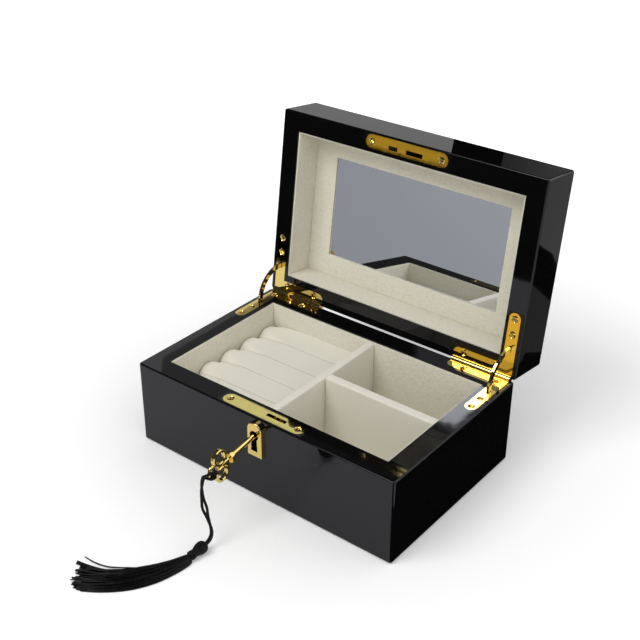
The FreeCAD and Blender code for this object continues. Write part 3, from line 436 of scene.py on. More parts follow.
# Cord from the key to the tassel, the same route as the tube's
CORD_ROUTE_MM = [
    (-2.2, -109.7, 41.0),
    (-2.0, -111.2, 39.2),
    (-1.2, -112.9, 35.9),
    (-0.3, -113.9, 30.7),
    (2.1, -114.8, 23.5),
    (6.4, -115.9, 16.3),
    (8.4, -116.3, 12.0),
    (8.8, -116.8, 9.1),
    (8.8, -117.9, 6.9),
    (8.6, -119.6, 5.3),
    (8.5, -121.7, 4.6),
]
CORD_ROUTE = [Vector(point) * MM for point in CORD_ROUTE_MM]
PLIES = 3
PLY_RADIUS = 0.47 * MM
PLY_OFFSET = 0.46 * MM
PLY_PITCH = 3.4 * MM
PLY_SIDES = 8
LINE_STEP = 0.22 * MM

# How far each strand stands from the cord's middle in millimetres, at shares of its length
STRAND_SPREAD = [
    (0.0, 0.5), (0.1, 0.7), (0.3, 0.68), (0.46, 1.3), (0.6, 0.72), (0.7, 0.66), (0.88, 0.62), (1.0, 0.4),
]

# Where the strands part, to which side, how fast they turn round each other, and how their plies start
PARTING_SHARE = 0.46
PARTING_SIDE = Vector((0.787, 0.617, 0))
STRAND_TURN = 5.5
STRAND_PHASE = 0.8


def between(table, share):
    """A smoothly eased value from a list of (place, value) pairs."""
    for (start, first), (stop, last) in zip(table, table[1:]):
        if share <= stop:
            part = (share - start) / (stop - start)
            eased = part * part * (3 - 2 * part)
            return first + (last - first) * eased
    return table[-1][1]


def cord_strands():
    """The two strands of the cord, each twisted of three plies, that part and meet on their way down."""
    line = evenly(route_line(CORD_ROUTE), LINE_STEP)
    frames = carried_frames(line, PARTING_SIDE)
    bm = bmesh.new()
    for strand in (-1, 1):
        middle = []
        for number, (point, (side, across)) in enumerate(zip(line, frames)):
            share = number / (len(line) - 1)
            spread = between(STRAND_SPREAD, share) * MM
            direction = around(side, across, STRAND_TURN * (share - PARTING_SHARE))
            middle.append(point + direction * spread * strand)
        for ply in ply_lines(middle, PLY_OFFSET, PLY_PITCH, PLIES, strand * STRAND_PHASE):
            add_tube(bm, ply, PLY_RADIUS, PLY_SIDES)
    cord = finish_mesh("tassel_cord_strands", bm)
    stand_for(cord, "tassel_cord", "base", "black_cord")
    return cord, line


# Key bow and the cord's hitch on it
KEY_SPOT = Vector((0, -68.1, 47.5)) * MM
KEY_DROOP = math.radians(8)
BOW_TIP = 36.2 * MM
BOW_RING_RADIUS = 3.7 * MM
BOW_RING_WIRE = 1.0 * MM
HITCH_TURNS = 6
HITCH_FIRST_ANGLE = 26
HITCH_STEP_ANGLE = 13
HITCH_PLY_RADIUS = 0.27 * MM
HITCH_PLY_OFFSET = 0.25 * MM
HITCH_STEPS = 48
HITCH_WAVER = 0.09
KNOT_SPOT_MM = (0.9, -35.7, -1.1)
KNOT_LOOPS = 9
KNOT_STEPS = 28
KNOT_LEAN = 0.6
KNOT_LEAST = 0.8
KNOT_MOST = 1.35

# The two strands from the knot to the cord, past the near and the far side of the ring, in the key's axes
LEAD_ROUTES_MM = [
    [
        (1.2, -35.2, -0.3), (1.9, -37.4, 1.2), (1.8, -39.6, 1.9), (0.6, -41.6, 1.5), (-1.3, -42.4, 0.4),
        (-2.1, -42.1, -0.6),
    ],
    [(0.6, -35.6, -2.4), (0.2, -37.0, -4.6), (-0.8, -39.0, -4.4), (-1.6, -40.8, -2.8), (-2.1, -42.0, -1.2)],
]


def on_key(x, y, z):
    """A point of the key, given along its drooping axis."""
    turned_y = y * math.cos(KEY_DROOP) - z * math.sin(KEY_DROOP)
    turned_z = y * math.sin(KEY_DROOP) + z * math.cos(KEY_DROOP)
    return KEY_SPOT + Vector((x, turned_y, turned_z))


def hitch():
    """Turns of the cord round the bow's end ring, drawn down to a small knot in its opening."""
    bm = bmesh.new()
    wrap = BOW_RING_WIRE + HITCH_PLY_RADIUS + HITCH_PLY_OFFSET
    for turn in range(HITCH_TURNS):
        place = math.radians(HITCH_FIRST_ANGLE + HITCH_STEP_ANGLE * turn)
        line = []
        for step in range(HITCH_STEPS + 1):
            angle = math.tau * step / HITCH_STEPS
            reach = BOW_RING_RADIUS + wrap * math.cos(angle)
            lean = place + HITCH_WAVER * math.sin(angle + turn)
            y = -BOW_TIP - reach * math.cos(lean)
            z = -reach * math.sin(lean)
            line.append(on_key(wrap * math.sin(angle), y, z))
        for ply in ply_lines(line, HITCH_PLY_OFFSET, PLY_PITCH, phase=turn):
            add_tube(bm, ply, HITCH_PLY_RADIUS, PLY_SIDES)
    knot = Vector(KNOT_SPOT_MM) * MM
    rng = random.Random(5)
    for loop in range(KNOT_LOOPS):
        tilt = rng.uniform(0, math.pi)
        lean = rng.uniform(-KNOT_LEAN, KNOT_LEAN)
        size = rng.uniform(KNOT_LEAST, KNOT_MOST) * MM
        line = []
        for step in range(KNOT_STEPS + 1):
            angle = math.tau * step / KNOT_STEPS
            flat = Vector((math.cos(angle), math.sin(angle), 0)) * size
            spun = Matrix.Rotation(tilt, 3, "X") @ Matrix.Rotation(lean, 3, "Y") @ flat
            line.append(on_key(*(knot + spun)))
        for ply in ply_lines(line, HITCH_PLY_OFFSET, PLY_PITCH, phase=loop):
            add_tube(bm, ply, HITCH_PLY_RADIUS, PLY_SIDES)
    for number, route in enumerate(LEAD_ROUTES_MM):
        line = evenly(route_line([on_key(*(Vector(spot) * MM)) for spot in route]), LINE_STEP)
        for ply in ply_lines(line, PLY_OFFSET, PLY_PITCH, PLIES, number):
            add_tube(bm, ply, PLY_RADIUS, PLY_SIDES)
    turns = finish_mesh("cord_hitch_turns", bm)
    stand_for(turns, "cord_hitch", "key", "black_cord")


# Tassel's head: its radius at distances along its axis, in millimetres
TASSEL_NECK = Vector((7.8, -134.4, 3.4)) * MM
HEAD_PROFILE_MM = [
    (0.0, 1.0), (0.35, 1.9), (0.9, 2.7), (1.8, 3.35), (3.0, 3.65), (4.2, 3.65), (5.4, 3.45), (6.6, 3.05),
    (7.8, 2.65), (9.0, 2.4), (10.4, 2.35),
]
BAND_START = 10.4 * MM
BAND_LENGTH = 2.2 * MM
BAND_RADIUS = 2.5 * MM
BAND_TURNS = 5
BAND_STEPS = 36
BAND_PLY_RADIUS = 0.15 * MM
BAND_PLY_OFFSET = 0.13 * MM
BAND_EDGE = 0.2 * MM
HEAD_THREADS = 28
HEAD_THREAD_RADIUS = 0.42 * MM
HEAD_THREAD_STEPS = 28
HEAD_THREAD_TWIST = 0.12
HEAD_THREAD_SWAY = 0.05
HEAD_THREAD_LIFT = 0.03
CORE_RINGS = 24
CORE_SIDES = 32
COLLAR_TURNS = 3
COLLAR_STEPS = 24
COLLAR_PLY = 0.2 * MM
FINE_PITCH = 1.6 * MM


def head_axes():
    """Where the head starts, its axis, and two directions across it."""
    start = CORD_ROUTE[-1]
    axis = (TASSEL_NECK - start).normalized()
    side = axis.orthogonal().normalized()
    return start, axis, side, axis.cross(side)


def head_radius(along):
    """The head's radius at a distance along its axis."""
    for (start, first), (stop, last) in zip(HEAD_PROFILE_MM, HEAD_PROFILE_MM[1:]):
        if along <= stop * MM:
            share = (along / MM - start) / (stop - start)
            return (first + (last - first) * share) * MM
    return HEAD_PROFILE_MM[-1][1] * MM


def tassel_head():
    """A bulb of threads drawn over the knot, tied below it with a wound band."""
    start, axis, side, across = head_axes()
    bm = bmesh.new()
    rng = random.Random(11)
    core = []
    for step in range(CORE_RINGS + 1):
        along = BAND_START * step / CORE_RINGS
        core.append((along, head_radius(along) - HEAD_THREAD_RADIUS))
    core.append((BAND_START + BAND_LENGTH, BAND_RADIUS - HEAD_THREAD_RADIUS))
    rings = [add_ring(bm, start + axis * along, side, across, radius, CORE_SIDES) for along, radius in core]
    close_rings(bm, rings)
    for number in range(HEAD_THREADS):
        base_angle = math.tau * number / HEAD_THREADS
        sway = rng.uniform(-HEAD_THREAD_SWAY, HEAD_THREAD_SWAY)
        line = []
        for step in range(HEAD_THREAD_STEPS + 1):
            share = step / HEAD_THREAD_STEPS
            along = BAND_START * share
            angle = base_angle + sway * math.sin(share * math.pi) + HEAD_THREAD_TWIST * share
            lift = rng.uniform(-HEAD_THREAD_LIFT, HEAD_THREAD_LIFT) * MM
            radius = head_radius(along) - HEAD_THREAD_RADIUS * 0.55 + lift
            line.append(start + axis * along + around(side, across, angle) * radius)
        add_tube(bm, line, HEAD_THREAD_RADIUS)
    turns = []
    steps = BAND_TURNS * BAND_STEPS
    for step in range(steps + 1):
        share = step / steps
        offset = around(side, across, math.tau * BAND_TURNS * share)
        along = BAND_START - BAND_EDGE + (BAND_LENGTH - BAND_EDGE) * share
        turns.append(start + axis * along + offset * (BAND_RADIUS + BAND_PLY_RADIUS))
    for ply in ply_lines(turns, BAND_PLY_OFFSET, FINE_PITCH):
        add_tube(bm, ply, BAND_PLY_RADIUS)
    collar = []
    steps = COLLAR_TURNS * COLLAR_STEPS
    for step in range(steps + 1):
        share = step / steps
        offset = around(side, across, math.tau * COLLAR_TURNS * share)
        collar.append(start + axis * (0.25 + 0.3 * share) * MM + offset * (1.0 + 0.5 * share) * MM)
    for ply in ply_lines(collar, COLLAR_PLY, FINE_PITCH):
        add_tube(bm, ply, COLLAR_PLY)
    head = finish_mesh("tassel_head_threads", bm)
    stand_for(head, "tassel_head", "base", "black_cord")
    return head


# Tassel's skirt: its middle line on the table with its width and height, in millimetres
SKIRT_STATIONS = [
    ((6.8, -137.4), 7.4, 6.2),
    ((3.4, -145.9), 10.8, 5.4),
    ((-2.1, -156.4), 14.6, 4.6),
    ((-9.6, -167.2), 17.0, 4.0),
    ((-18.6, -175.8), 18.6, 3.5),
    ((-27.2, -181.2), 21.0, 3.1),
    ((-35.0, -184.5), 23.0, 2.8),
]
SKIRT_LOCKS = 10
SKIRT_THREADS = 175

# The one stray thread beside the skirt
STRAY_ROUTE_MM = [
    (-9.1, -158.4, 2.4), (-17.1, -163.4, 1.6), (-24.0, -167.4, 0.9), (-30.4, -169.6, 1.2),
    (-36.0, -170.4, 1.3), (-41.8, -169.6, 0.5),
]
STRAY_STEP = 0.8 * MM
STRAY_TAPER = 0.3

# The threads: how far they reach as a share of the skirt, how they gather into locks, and their ends
THREAD_RADIUS = 0.46 * MM
THREAD_STEPS = 46
THREAD_TAPER = 0.25
THREAD_WAVE = 1.6 * MM
THREAD_FLOOR = 1.2
SKIRT_REACH = 1.06
SKIRT_LEAST_REACH = 0.86
LOCK_TRIM = 0.012
LOCK_UNEVEN = 0.02
END_UNEVEN = 0.014
LOCK_DRAW = 0.5
LOCK_GROOVE = 0.5
END_TRIM = 0.033
END_SLANT = 0.052
SKIRT_SAG = 1.8 * MM


def spline_at(values, share):
    """Catmull-Rom value at a share of the way through equally spaced values."""
    last = len(values) - 1
    place = min(max(share, 0.0), SKIRT_REACH) * last
    number = min(int(place), last - 1)
    t = place - number
    p1, p2 = values[number], values[number + 1]
    p0 = values[number - 1] if number > 0 else p1 * 2 - p2
    p3 = values[number + 2] if number + 2 <= last else p2 * 2 - p1
    return (p1 * 2 + (p2 - p0) * t + (p0 * 2 - p1 * 5 + p2 * 4 - p3) * t**2
            + (p1 * 3 - p0 - p2 * 3 + p3) * t**3) * 0.5


def skirt_sections():
    """Middle, direction across, half width and height of the skirt at each station."""
    start, axis, side, across = head_axes()
    top = start + axis * (BAND_START + BAND_LENGTH)
    stations = [((top.x / MM, top.y / MM), BAND_RADIUS * 1.9 / MM, (top.z + BAND_RADIUS * 0.9) / MM)]
    stations += SKIRT_STATIONS
    middles = [Vector((spot[0], spot[1], 0)) * MM for spot, width, height in stations]
    sections = []
    for number, (spot, width, height) in enumerate(stations):
        heading = middles[min(number + 1, len(middles) - 1)] - middles[max(number - 1, 0)]
        sideways = Vector((-heading.y, heading.x, 0)).normalized()
        sections.append((middles[number], sideways, width / 2 * MM, height * MM))
    return sections


def skirt_line(sections, u, v, lock, reach, rng):
    """One thread's line: u across the skirt from -1 to 1, v up its section, drawn to its lock's middle."""
    line = []
    phase = rng.uniform(0, math.tau)
    twist = rng.uniform(-1, 1)
    for step in range(THREAD_STEPS + 1):
        share = reach * step / THREAD_STEPS
        middle = spline_at([section[0] for section in sections], share)
        sideways = spline_at([section[1] for section in sections], share)
        half = spline_at([section[2] for section in sections], share)
        height = spline_at([section[3] for section in sections], share)
        loose = share * share
        drawn = LOCK_DRAW * loose
        place = u * (1 - drawn) + lock["u"] * drawn
        sway = (math.sin(share * 7 + phase) * 0.35 + twist * share * 0.5) * THREAD_WAVE * loose
        sway += math.sin(share * 5 + lock["phase"]) * THREAD_WAVE * 0.5 * loose
        across = place * (half - THREAD_RADIUS) + sway
        across += SKIRT_SAG * max(0.0, place) * math.sin(math.pi * min(share, 1.0)) ** 2
        crown = height * (1 - 0.55 * abs(place) ** 2.2)
        crown -= LOCK_GROOVE * height * min(1.0, 0.2 + share * 3) * min(1.0, abs(u - lock["u"]) * SKIRT_LOCKS)
        up = THREAD_RADIUS * THREAD_FLOOR + v * max(crown - THREAD_RADIUS * 2.6, THREAD_RADIUS * 0.2)
        lift = math.sin(share * 9 + phase * 2) * THREAD_WAVE * 0.2 * loose * v
        z = max(up + lift, THREAD_RADIUS * THREAD_FLOOR)
        spot = middle + sideways * across
        line.append(Vector((spot.x, spot.y, z)))
    return line


def tassel_skirt():
    """The skirt of loose threads, lying on the table, with uneven ends and one stray thread."""
    sections = skirt_sections()
    rng = random.Random(23)
    bm = bmesh.new()
    locks = []
    for number in range(SKIRT_LOCKS):
        middle = -1 + (2 * number + 1) / SKIRT_LOCKS
        phase = rng.uniform(0, math.tau)
        locks.append({"u": middle, "phase": phase, "reach": rng.gauss(-LOCK_TRIM, LOCK_UNEVEN)})
    for number in range(SKIRT_THREADS):
        outside = number % 5 != 0
        u = rng.uniform(-1, 1)
        lock = locks[min(int((u + 1) / 2 * SKIRT_LOCKS), SKIRT_LOCKS - 1)]
        v = rng.uniform(0.75, 1.0) if outside else rng.uniform(0.0, 0.75)
        if number % 9 == 0:
            v = 0.0
        reach = 1.0 - END_TRIM - END_SLANT * u + lock["reach"] + rng.gauss(0, END_UNEVEN)
        reach = min(max(reach, SKIRT_LEAST_REACH), SKIRT_REACH - 0.005)
        line = skirt_line(sections, u, v, lock, reach, rng)
        add_tube(bm, line, THREAD_RADIUS * rng.uniform(0.8, 1.15), taper=THREAD_TAPER)
    stray = evenly(route_line([Vector(spot) * MM for spot in STRAY_ROUTE_MM]), STRAY_STEP)
    add_tube(bm, stray, THREAD_RADIUS, taper=STRAY_TAPER)
    skirt = finish_mesh("tassel_skirt_threads", bm)
    stand_for(skirt, "tassel_skirt", "base", "black_cord")


# Linings: the cards keep their form, with the rounded edges of cloth turned over them
CARD_EDGE = 0.28 * MM
FELT_EDGE = 0.3 * MM
BED_EDGE = 1.2 * MM
BED_SEGMENTS = 4
JOIN_DISTANCE = 0.01 * MM
FLAT_ANGLE = math.radians(1)
EDGE_ANGLE = math.radians(30)
CARD_SHARP_ANGLE = math.radians(40)
LINING_NODES = [name for name in NODES if "liner" in name or name == "mirror_surround"]


def softened(node, name, rounding, segments=3):
    """A copy of a plain node with its flat faces joined up and its edges rounded."""
    bm = bmesh.new()
    bm.from_mesh(NODES[node].data)
    bmesh.ops.remove_doubles(bm, verts=bm.verts, dist=JOIN_DISTANCE)
    bmesh.ops.dissolve_limit(bm, angle_limit=FLAT_ANGLE, verts=bm.verts, edges=bm.edges)
    sharp = [edge for edge in bm.edges if edge.is_manifold and edge.calc_face_angle() > EDGE_ANGLE]
    bmesh.ops.bevel(
        bm, geom=sharp, offset=rounding, offset_type="OFFSET", segments=segments, profile=0.5,
        affect="EDGES", clamp_overlap=True,
    )
    bmesh.ops.triangulate(bm, faces=[face for face in bm.faces if len(face.verts) > 4])
    thing = finish_mesh(name, bm)
    thing.data.set_sharp_from_angle(angle=CARD_SHARP_ANGLE)
    return thing


def linings():
    """The lining cards and the mirror's surround."""
    for node in LINING_NODES:
        body = "lid" if node.startswith(("lid_", "mirror_")) else "base"
        card = softened(node, node + "_cover", CARD_EDGE)
        stand_for(card, node, body, "ivory_lining")


def felt_sheet():
    """The felt under the box."""
    sheet = softened("underside_felt", "underside_felt_sheet", FELT_EDGE)
    stand_for(sheet, "underside_felt", "base", "black_felt")


# Dividers: boards padded with thin foam, with flat tops, rounded edges and slightly drawn-in ends
DIVIDER_CORNER = 1.5 * MM
DIVIDER_STATIONS = 72
DIVIDER_PINCH = 0.06
DIVIDER_PINCH_LENGTH = 2 * MM
DIVIDER_FOOT = 0.05
DIVIDER_FOOT_HEIGHT = 4 * MM
DIVIDER_SAG = 0.12 * MM
DIVIDER_WAVES = 4
DIVIDER_SHARP_ANGLE = math.radians(50)


def section_steps(straight, arc, flat):
    """Places along a divider's section, closer together round its two top corners."""
    parts = [(straight, 14), (arc, 7), (flat, 8), (arc, 7), (straight, 14)]
    places = [0.0]
    for length, count in parts:
        first = places[-1]
        places += [first + length * (step + 1) / count for step in range(count)]
    return places


def divider(node, along_x):
    """A divider in its node's box, with a slightly wavy skin."""
    low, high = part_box(node)
    low, high = Vector(low), Vector(high)
    middle = (low + high) / 2
    half_thick = (high.y - low.y) / 2 if along_x else (high.x - low.x) / 2
    half_long = (high.x - low.x) / 2 if along_x else (high.y - low.y) / 2
    height = high.z - low.z
    straight = height - DIVIDER_CORNER
    arc = DIVIDER_CORNER * math.pi / 2
    flat = 2 * (half_thick - DIVIDER_CORNER)
    places = section_steps(straight, arc, flat)
    rng = random.Random(len(node))
    waves = []
    for wave in range(DIVIDER_WAVES):
        waves.append((rng.uniform(20, 90), rng.uniform(0, math.tau), rng.uniform(0.1, 0.3)))
    bm = bmesh.new()
    rings = []
    for station in range(DIVIDER_STATIONS + 1):
        along = -half_long + 2 * half_long * station / DIVIDER_STATIONS
        from_end = half_long - abs(along)
        pinch = 1 - DIVIDER_PINCH + DIVIDER_PINCH * min(1, from_end / DIVIDER_PINCH_LENGTH) ** 0.5
        ring = []
        for travel in places:
            side = -1 if travel < places[-1] / 2 else 1
            climb = min(travel, places[-1] - travel)
            if climb < straight:
                inset, up = 0.0, climb
            elif climb < straight + arc:
                angle = (climb - straight) / DIVIDER_CORNER
                inset = DIVIDER_CORNER * (1 - math.cos(angle))
                up = straight + DIVIDER_CORNER * math.sin(angle)
            else:
                inset, up = DIVIDER_CORNER + climb - straight - arc, height
            swell = sum(size * math.sin((along + up * 0.7) * rate + start) for rate, start, size in waves)
            foot = 1 - DIVIDER_FOOT + DIVIDER_FOOT * min(1, up / DIVIDER_FOOT_HEIGHT)
            across = side * (half_thick - inset) * pinch * foot * (0.98 + 0.02 * swell)
            sag = DIVIDER_SAG * (1 + math.sin(along * 55 + len(node)))
            z = low.z + up - sag * max(0.0, up - straight) / DIVIDER_CORNER
            if along_x:
                ring.append(bm.verts.new((middle.x + along, middle.y + across, z)))
            else:
                ring.append(bm.verts.new((middle.x + across, middle.y + along, z)))
        rings.append(ring)
    close_rings(bm, rings)
    bmesh.ops.recalc_face_normals(bm, faces=bm.faces)
    pad = finish_mesh(node + "_pad", bm)
    pad.data.set_sharp_from_angle(angle=DIVIDER_SHARP_ANGLE)
    stand_for(pad, node, "base", "ivory_padding")


# Ring rolls: foam rolls in soft cloth, round at their left ends and pressed square against each other beyond
ROLL_END_LEFT = 6 * MM
ROLL_END_RIGHT = 2 * MM

# How square their section is at shares of their length: 2 is round, and the higher the squarer
ROLL_POWER = [(0.0, 2.0), (0.06, 2.2), (0.24, 10.0), (0.38, 80.0), (1.0, 140.0)]
ROLL_PRESSED = 80.0
ROLL_GAP = 0.01 * MM
ROLL_STATIONS = 96
ROLL_SIDES = 72
ROLL_END_POWER = 2.6
ROLL_FOLD = 0.13 * MM
ROLL_FOLD_REACH = 9 * MM
ROLL_EASE = 0.07 * MM
ROLL_TIP_LEFT = 0.55
ROLL_TIP_RIGHT = 0.9
ROLL_SHARP_ANGLE = math.radians(35)


def ring_roll(node, seed):
    """A roll in its node's box, puckered at its left end."""
    low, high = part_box(node)
    low, high = Vector(low), Vector(high)
    middle = (low + high) / 2
    radius = (high.y - low.y) / 2
    centre_z = high.z - radius
    half_long = (high.x - low.x) / 2
    rng = random.Random(seed)
    puckers = rng.randint(11, 15)
    phase = rng.uniform(0, math.tau)
    bm = bmesh.new()
    rings = []
    for station in range(ROLL_STATIONS + 1):
        along = -half_long * math.cos(math.pi * station / ROLL_STATIONS)
        from_end = half_long - abs(along)
        end_round = ROLL_END_LEFT if along < 0 else ROLL_END_RIGHT
        if from_end < end_round:
            inward = 1 - from_end / end_round
            shape = max(1 - inward**ROLL_END_POWER, 0.0) ** (1 / ROLL_END_POWER)
        else:
            shape = 1.0
        smallest = ROLL_TIP_LEFT if along < 0 else ROLL_TIP_RIGHT
        ring_radius = radius * (smallest + (1 - smallest) * shape)
        power = between(ROLL_POWER, (along + half_long) / (2 * half_long))
        near_end = max(0.0, 1 - (along + half_long) / ROLL_FOLD_REACH)
        loose = max(0.0, 1 - power / ROLL_PRESSED)
        ring = []
        for step in range(ROLL_SIDES):
            angle = math.tau * step / ROLL_SIDES
            squared = (abs(math.cos(angle)) ** power + abs(math.sin(angle)) ** power) ** (-1 / power)
            fold = ROLL_FOLD * near_end * math.sin(puckers * angle + phase)
            ease = ROLL_EASE * loose * math.sin(along * 95 + phase) * math.sin(angle * 2 + phase)
            size = (ring_radius - ROLL_GAP) * squared + fold * shape + ease
            y = middle.y + min(max(size * math.cos(angle), ROLL_GAP - radius), radius - ROLL_GAP)
            z = min(max(centre_z + size * math.sin(angle), low.z), high.z)
            ring.append(bm.verts.new((middle.x + along, y, z)))
        rings.append(ring)
    close_rings(bm, rings)
    bmesh.ops.recalc_face_normals(bm, faces=bm.faces)
    roll = finish_mesh(node + "_foam", bm)
    roll.data.set_sharp_from_angle(angle=ROLL_SHARP_ANGLE)
    stand_for(roll, node, "base", "ivory_padding")


def ring_cushion():
    """The bed and the five rolls on it."""
    bed = softened("ring_bed", "ring_bed_pad", BED_EDGE, BED_SEGMENTS)
    stand_for(bed, "ring_bed", "base", "ivory_padding")
    for number in range(1, 6):
        ring_roll("ring_roll_%d" % number, number)


# Studio: floor, lamp and sky
FLOOR_COLOR = (0.86, 0.86, 0.86, 1)
FLOOR_SEEN_COLOR = (0.93, 0.93, 0.93, 1)
FLOOR_HALF = 4
FLOOR_GLOW_NEAR = 0.15
FLOOR_GLOW_FAR = 1.2
GLOW_START = 0.1
GLOW_END = 1.3
KEY_DIRECTION = Vector((-0.2, -0.58, 0.79)).normalized()
KEY_DISTANCE = 1.5
KEY_AIM = Vector((0, 0, 0.08))
KEY_SIZE = 0.8
KEY_POWER = 10
SKY_LIGHT = 0.57
SKY_FROM_RIGHT = 0.48
SKY_GLOSS = 0.04

# The open lid's face and glass, and where the cards stand, in millimetres
LID_LEAN = math.radians(7.5)
LID_FACE = Vector((0, -math.cos(LID_LEAN), math.sin(LID_LEAN)))
GLASS_SPOT = Vector((0, 91.6, 80.5))
BACKDROP_Y = 152.0
CARD_LIFT = 0.3
CARDS_FACE = Vector((0, 60, 100))


def bounced(spot, normal, axis, level):
    """Where the camera's sight of a spot goes on to, mirrored there, on a plane across one axis."""
    start = CAMERA_SPOT / MM
    ahead = (Vector(spot) - start).normalized()
    ahead -= normal * (2 * ahead.dot(normal))
    travel = (level - spot[axis]) / ahead[axis]
    return Vector(spot) + ahead * travel


def glow_material(name, color, fades):
    """Light on the front side only; each fade is an axis with the strength at its low and high end."""
    material = bpy.data.materials.new(name)
    t = Tree(material)
    split = t.node("SeparateXYZ")
    t.link(t.node("TexCoord").outputs["Generated"], split.inputs["Vector"])
    strength = 1.0
    for axis, low, high in fades:
        strength = t.math("MULTIPLY", strength, t.fit(split.outputs[axis], low, high))
    glow = t.node("Emission")
    glow.inputs["Color"].default_value = (*color, 1)
    t.feed(glow.inputs["Strength"], strength)
    sides = t.node("MixShader")
    t.link(t.node("NewGeometry").outputs["Backfacing"], sides.inputs[0])
    t.link(glow.outputs["Emission"], sides.inputs[1])
    t.link(t.node("BsdfTransparent").outputs["BSDF"], sides.inputs[2])
    t.link(sides.outputs["Shader"], t.node("OutputMaterial").inputs["Surface"])
    return material


def stage_card(name, corners, color, fades=()):
    """A card that only reflections see, from its side towards the object; corners in millimetres."""
    mesh = bpy.data.meshes.new(name)
    mesh.from_pydata([Vector(corner) * MM for corner in corners], [], [tuple(range(len(corners)))])
    mesh.update()
    flat = mesh.polygons[0]
    if flat.normal.dot(CARDS_FACE * MM - flat.center) < 0:
        mesh.flip_normals()
    card = new_object(name, mesh)
    mesh.materials.append(glow_material(name, color, fades))
    card.visible_camera = False
    card.visible_diffuse = False
    card.visible_transmission = False
    card.visible_shadow = False


def grey(level):
    """A grey of one level."""
    return (level,) * 3


def floor_card(name, outline, color, lift=CARD_LIFT, fades=()):
    """A card just above the floor, given by its outline there."""
    stage_card(name, [(x, y, lift) for x, y in outline], color, fades)


def backdrop_card(name, outline, color, nearer=0.0, fades=()):
    """An upright card behind the box, given by its outline along X and Z."""
    stage_card(name, [(x, BACKDROP_Y - nearer, z) for x, z in outline], color, fades)


def floor():
    """A pale matte floor that keeps the object's shadow; it looks white to the camera."""
    bm = bmesh.new()
    bmesh.ops.create_grid(bm, x_segments=1, y_segments=1, size=FLOOR_HALF)
    ground = finish_mesh("floor", bm)
    material = bpy.data.materials.new("floor")
    t = Tree(material)
    seen = t.node("LightPath").outputs["Is Camera Ray"]
    matte = t.node("BsdfDiffuse")
    t.link(t.blend(seen, FLOOR_COLOR, FLOOR_SEEN_COLOR), matte.inputs["Color"])
    away = t.node("VectorMath", operation="LENGTH")
    t.link(t.node("TexCoord").outputs["Object"], away.inputs[0])
    rise = t.fit(away.outputs["Value"], FLOOR_GLOW_NEAR, FLOOR_GLOW_FAR, GLOW_START, GLOW_END)
    glow = t.node("Emission")
    t.link(t.math("MULTIPLY", seen, rise), glow.inputs["Strength"])
    both = t.node("AddShader")
    t.link(matte.outputs["BSDF"], both.inputs[0])
    t.link(glow.outputs["Emission"], both.inputs[1])
    t.link(both.outputs["Shader"], t.node("OutputMaterial").inputs["Surface"])
    ground.data.materials.append(material)


def key_light():
    """One large square lamp, high in front of the box."""
    data = bpy.data.lights.new("key_light", "AREA")
    data.shape = "SQUARE"
    data.size = KEY_SIZE
    data.energy = KEY_POWER
    lamp = bpy.data.objects.new("key_light", data)
    bpy.context.collection.objects.link(lamp)
    lamp.location = KEY_AIM + KEY_DIRECTION * KEY_DISTANCE
    lamp.rotation_euler = KEY_DIRECTION.to_track_quat("Z", "Y").to_euler()


def sky():
    """Soft light from all round, stronger from the right: white to the camera, dim in reflections."""
    world = bpy.data.worlds.new("sky")
    bpy.context.scene.world = world
    t = Tree(world)
    path = t.node("LightPath")
    split = t.node("SeparateXYZ")
    t.link(t.node("TexCoord").outputs["Generated"], split.inputs["Vector"])
    level = t.math("MULTIPLY_ADD", split.outputs["X"], SKY_FROM_RIGHT, SKY_LIGHT)
    level = t.mix(path.outputs["Is Glossy Ray"], level, SKY_GLOSS)
    level = t.mix(path.outputs["Is Camera Ray"], level, 1.0)
    light = t.node("Background")
    light.inputs["Color"].default_value = (1, 1, 1, 1)
    t.link(level, light.inputs["Strength"])
    t.link(light.outputs["Background"], t.node("OutputWorld").inputs["Surface"])


def cards_right():
    """What the box's right side sees: dark cards on the floor with a grey gap between them."""
    floor_card("card_right_end", [(190, 300), (800, 300), (800, 1000), (190, 1000)], grey(0.31))
    floor_card("card_right_middle", [(130, 140), (260, 140), (260, 330), (130, 330)], grey(0.11), 0.4)
    patch = [(260, 374), (220, 354), (214, 346), (203, 332), (170, 300), (150, 255), (177, 273),
             (193, 283), (206, 291), (240, 312)]
    floor_card("card_right_step", patch, grey(0.0), 0.6)
    near = [(100.5, -140), (150, -140), (152, 175), (156, 190), (146, 200), (100.5, 230)]
    floor_card("card_right_near", near, grey(0.0), 0.5)


def cards_front():
    """What the mirror and the lid's rim see: a dim patch for the glass, and dark beyond the table."""
    floor_card("card_front_dark", [(-1400, -400), (-70, -400), (-250, -1500), (-1400, -1500)], grey(0.0))
    glass = [(-70.5, 91.6, 80.5), (70.5, 91.6, 80.5), (70.5, 102.2, 163), (-70.5, 102.2, 163)]
    outline = [bounced(spot, LID_FACE, 2, 0).xy for spot in glass]
    floor_card("card_front_glass", outline, (0.33, 0.34, 0.36), 0.6, [("Y", 1.0, 0.8), ("X", 0.88, 1.12)])
    plate = [(-31, 82.4, 179.6), (31, 82.4, 179.6), (31, 83.4, 188.8), (-31, 83.4, 188.8)]
    outline = [bounced(spot, LID_FACE, 2, 0).xy for spot in plate]
    floor_card("card_front_striker", outline, (0.38, 0.28, 0.07), 0.8)
    rim = [(-125, 68.5, 78.9), (-78, 68.5, 78.9), (-78, 83.5, 190), (-125, 83.5, 190)]
    outline = [bounced(spot, LID_FACE, 2, 0).xy for spot in rim]
    floor_card("card_front_left_rim", outline, grey(0.0), 1.0)


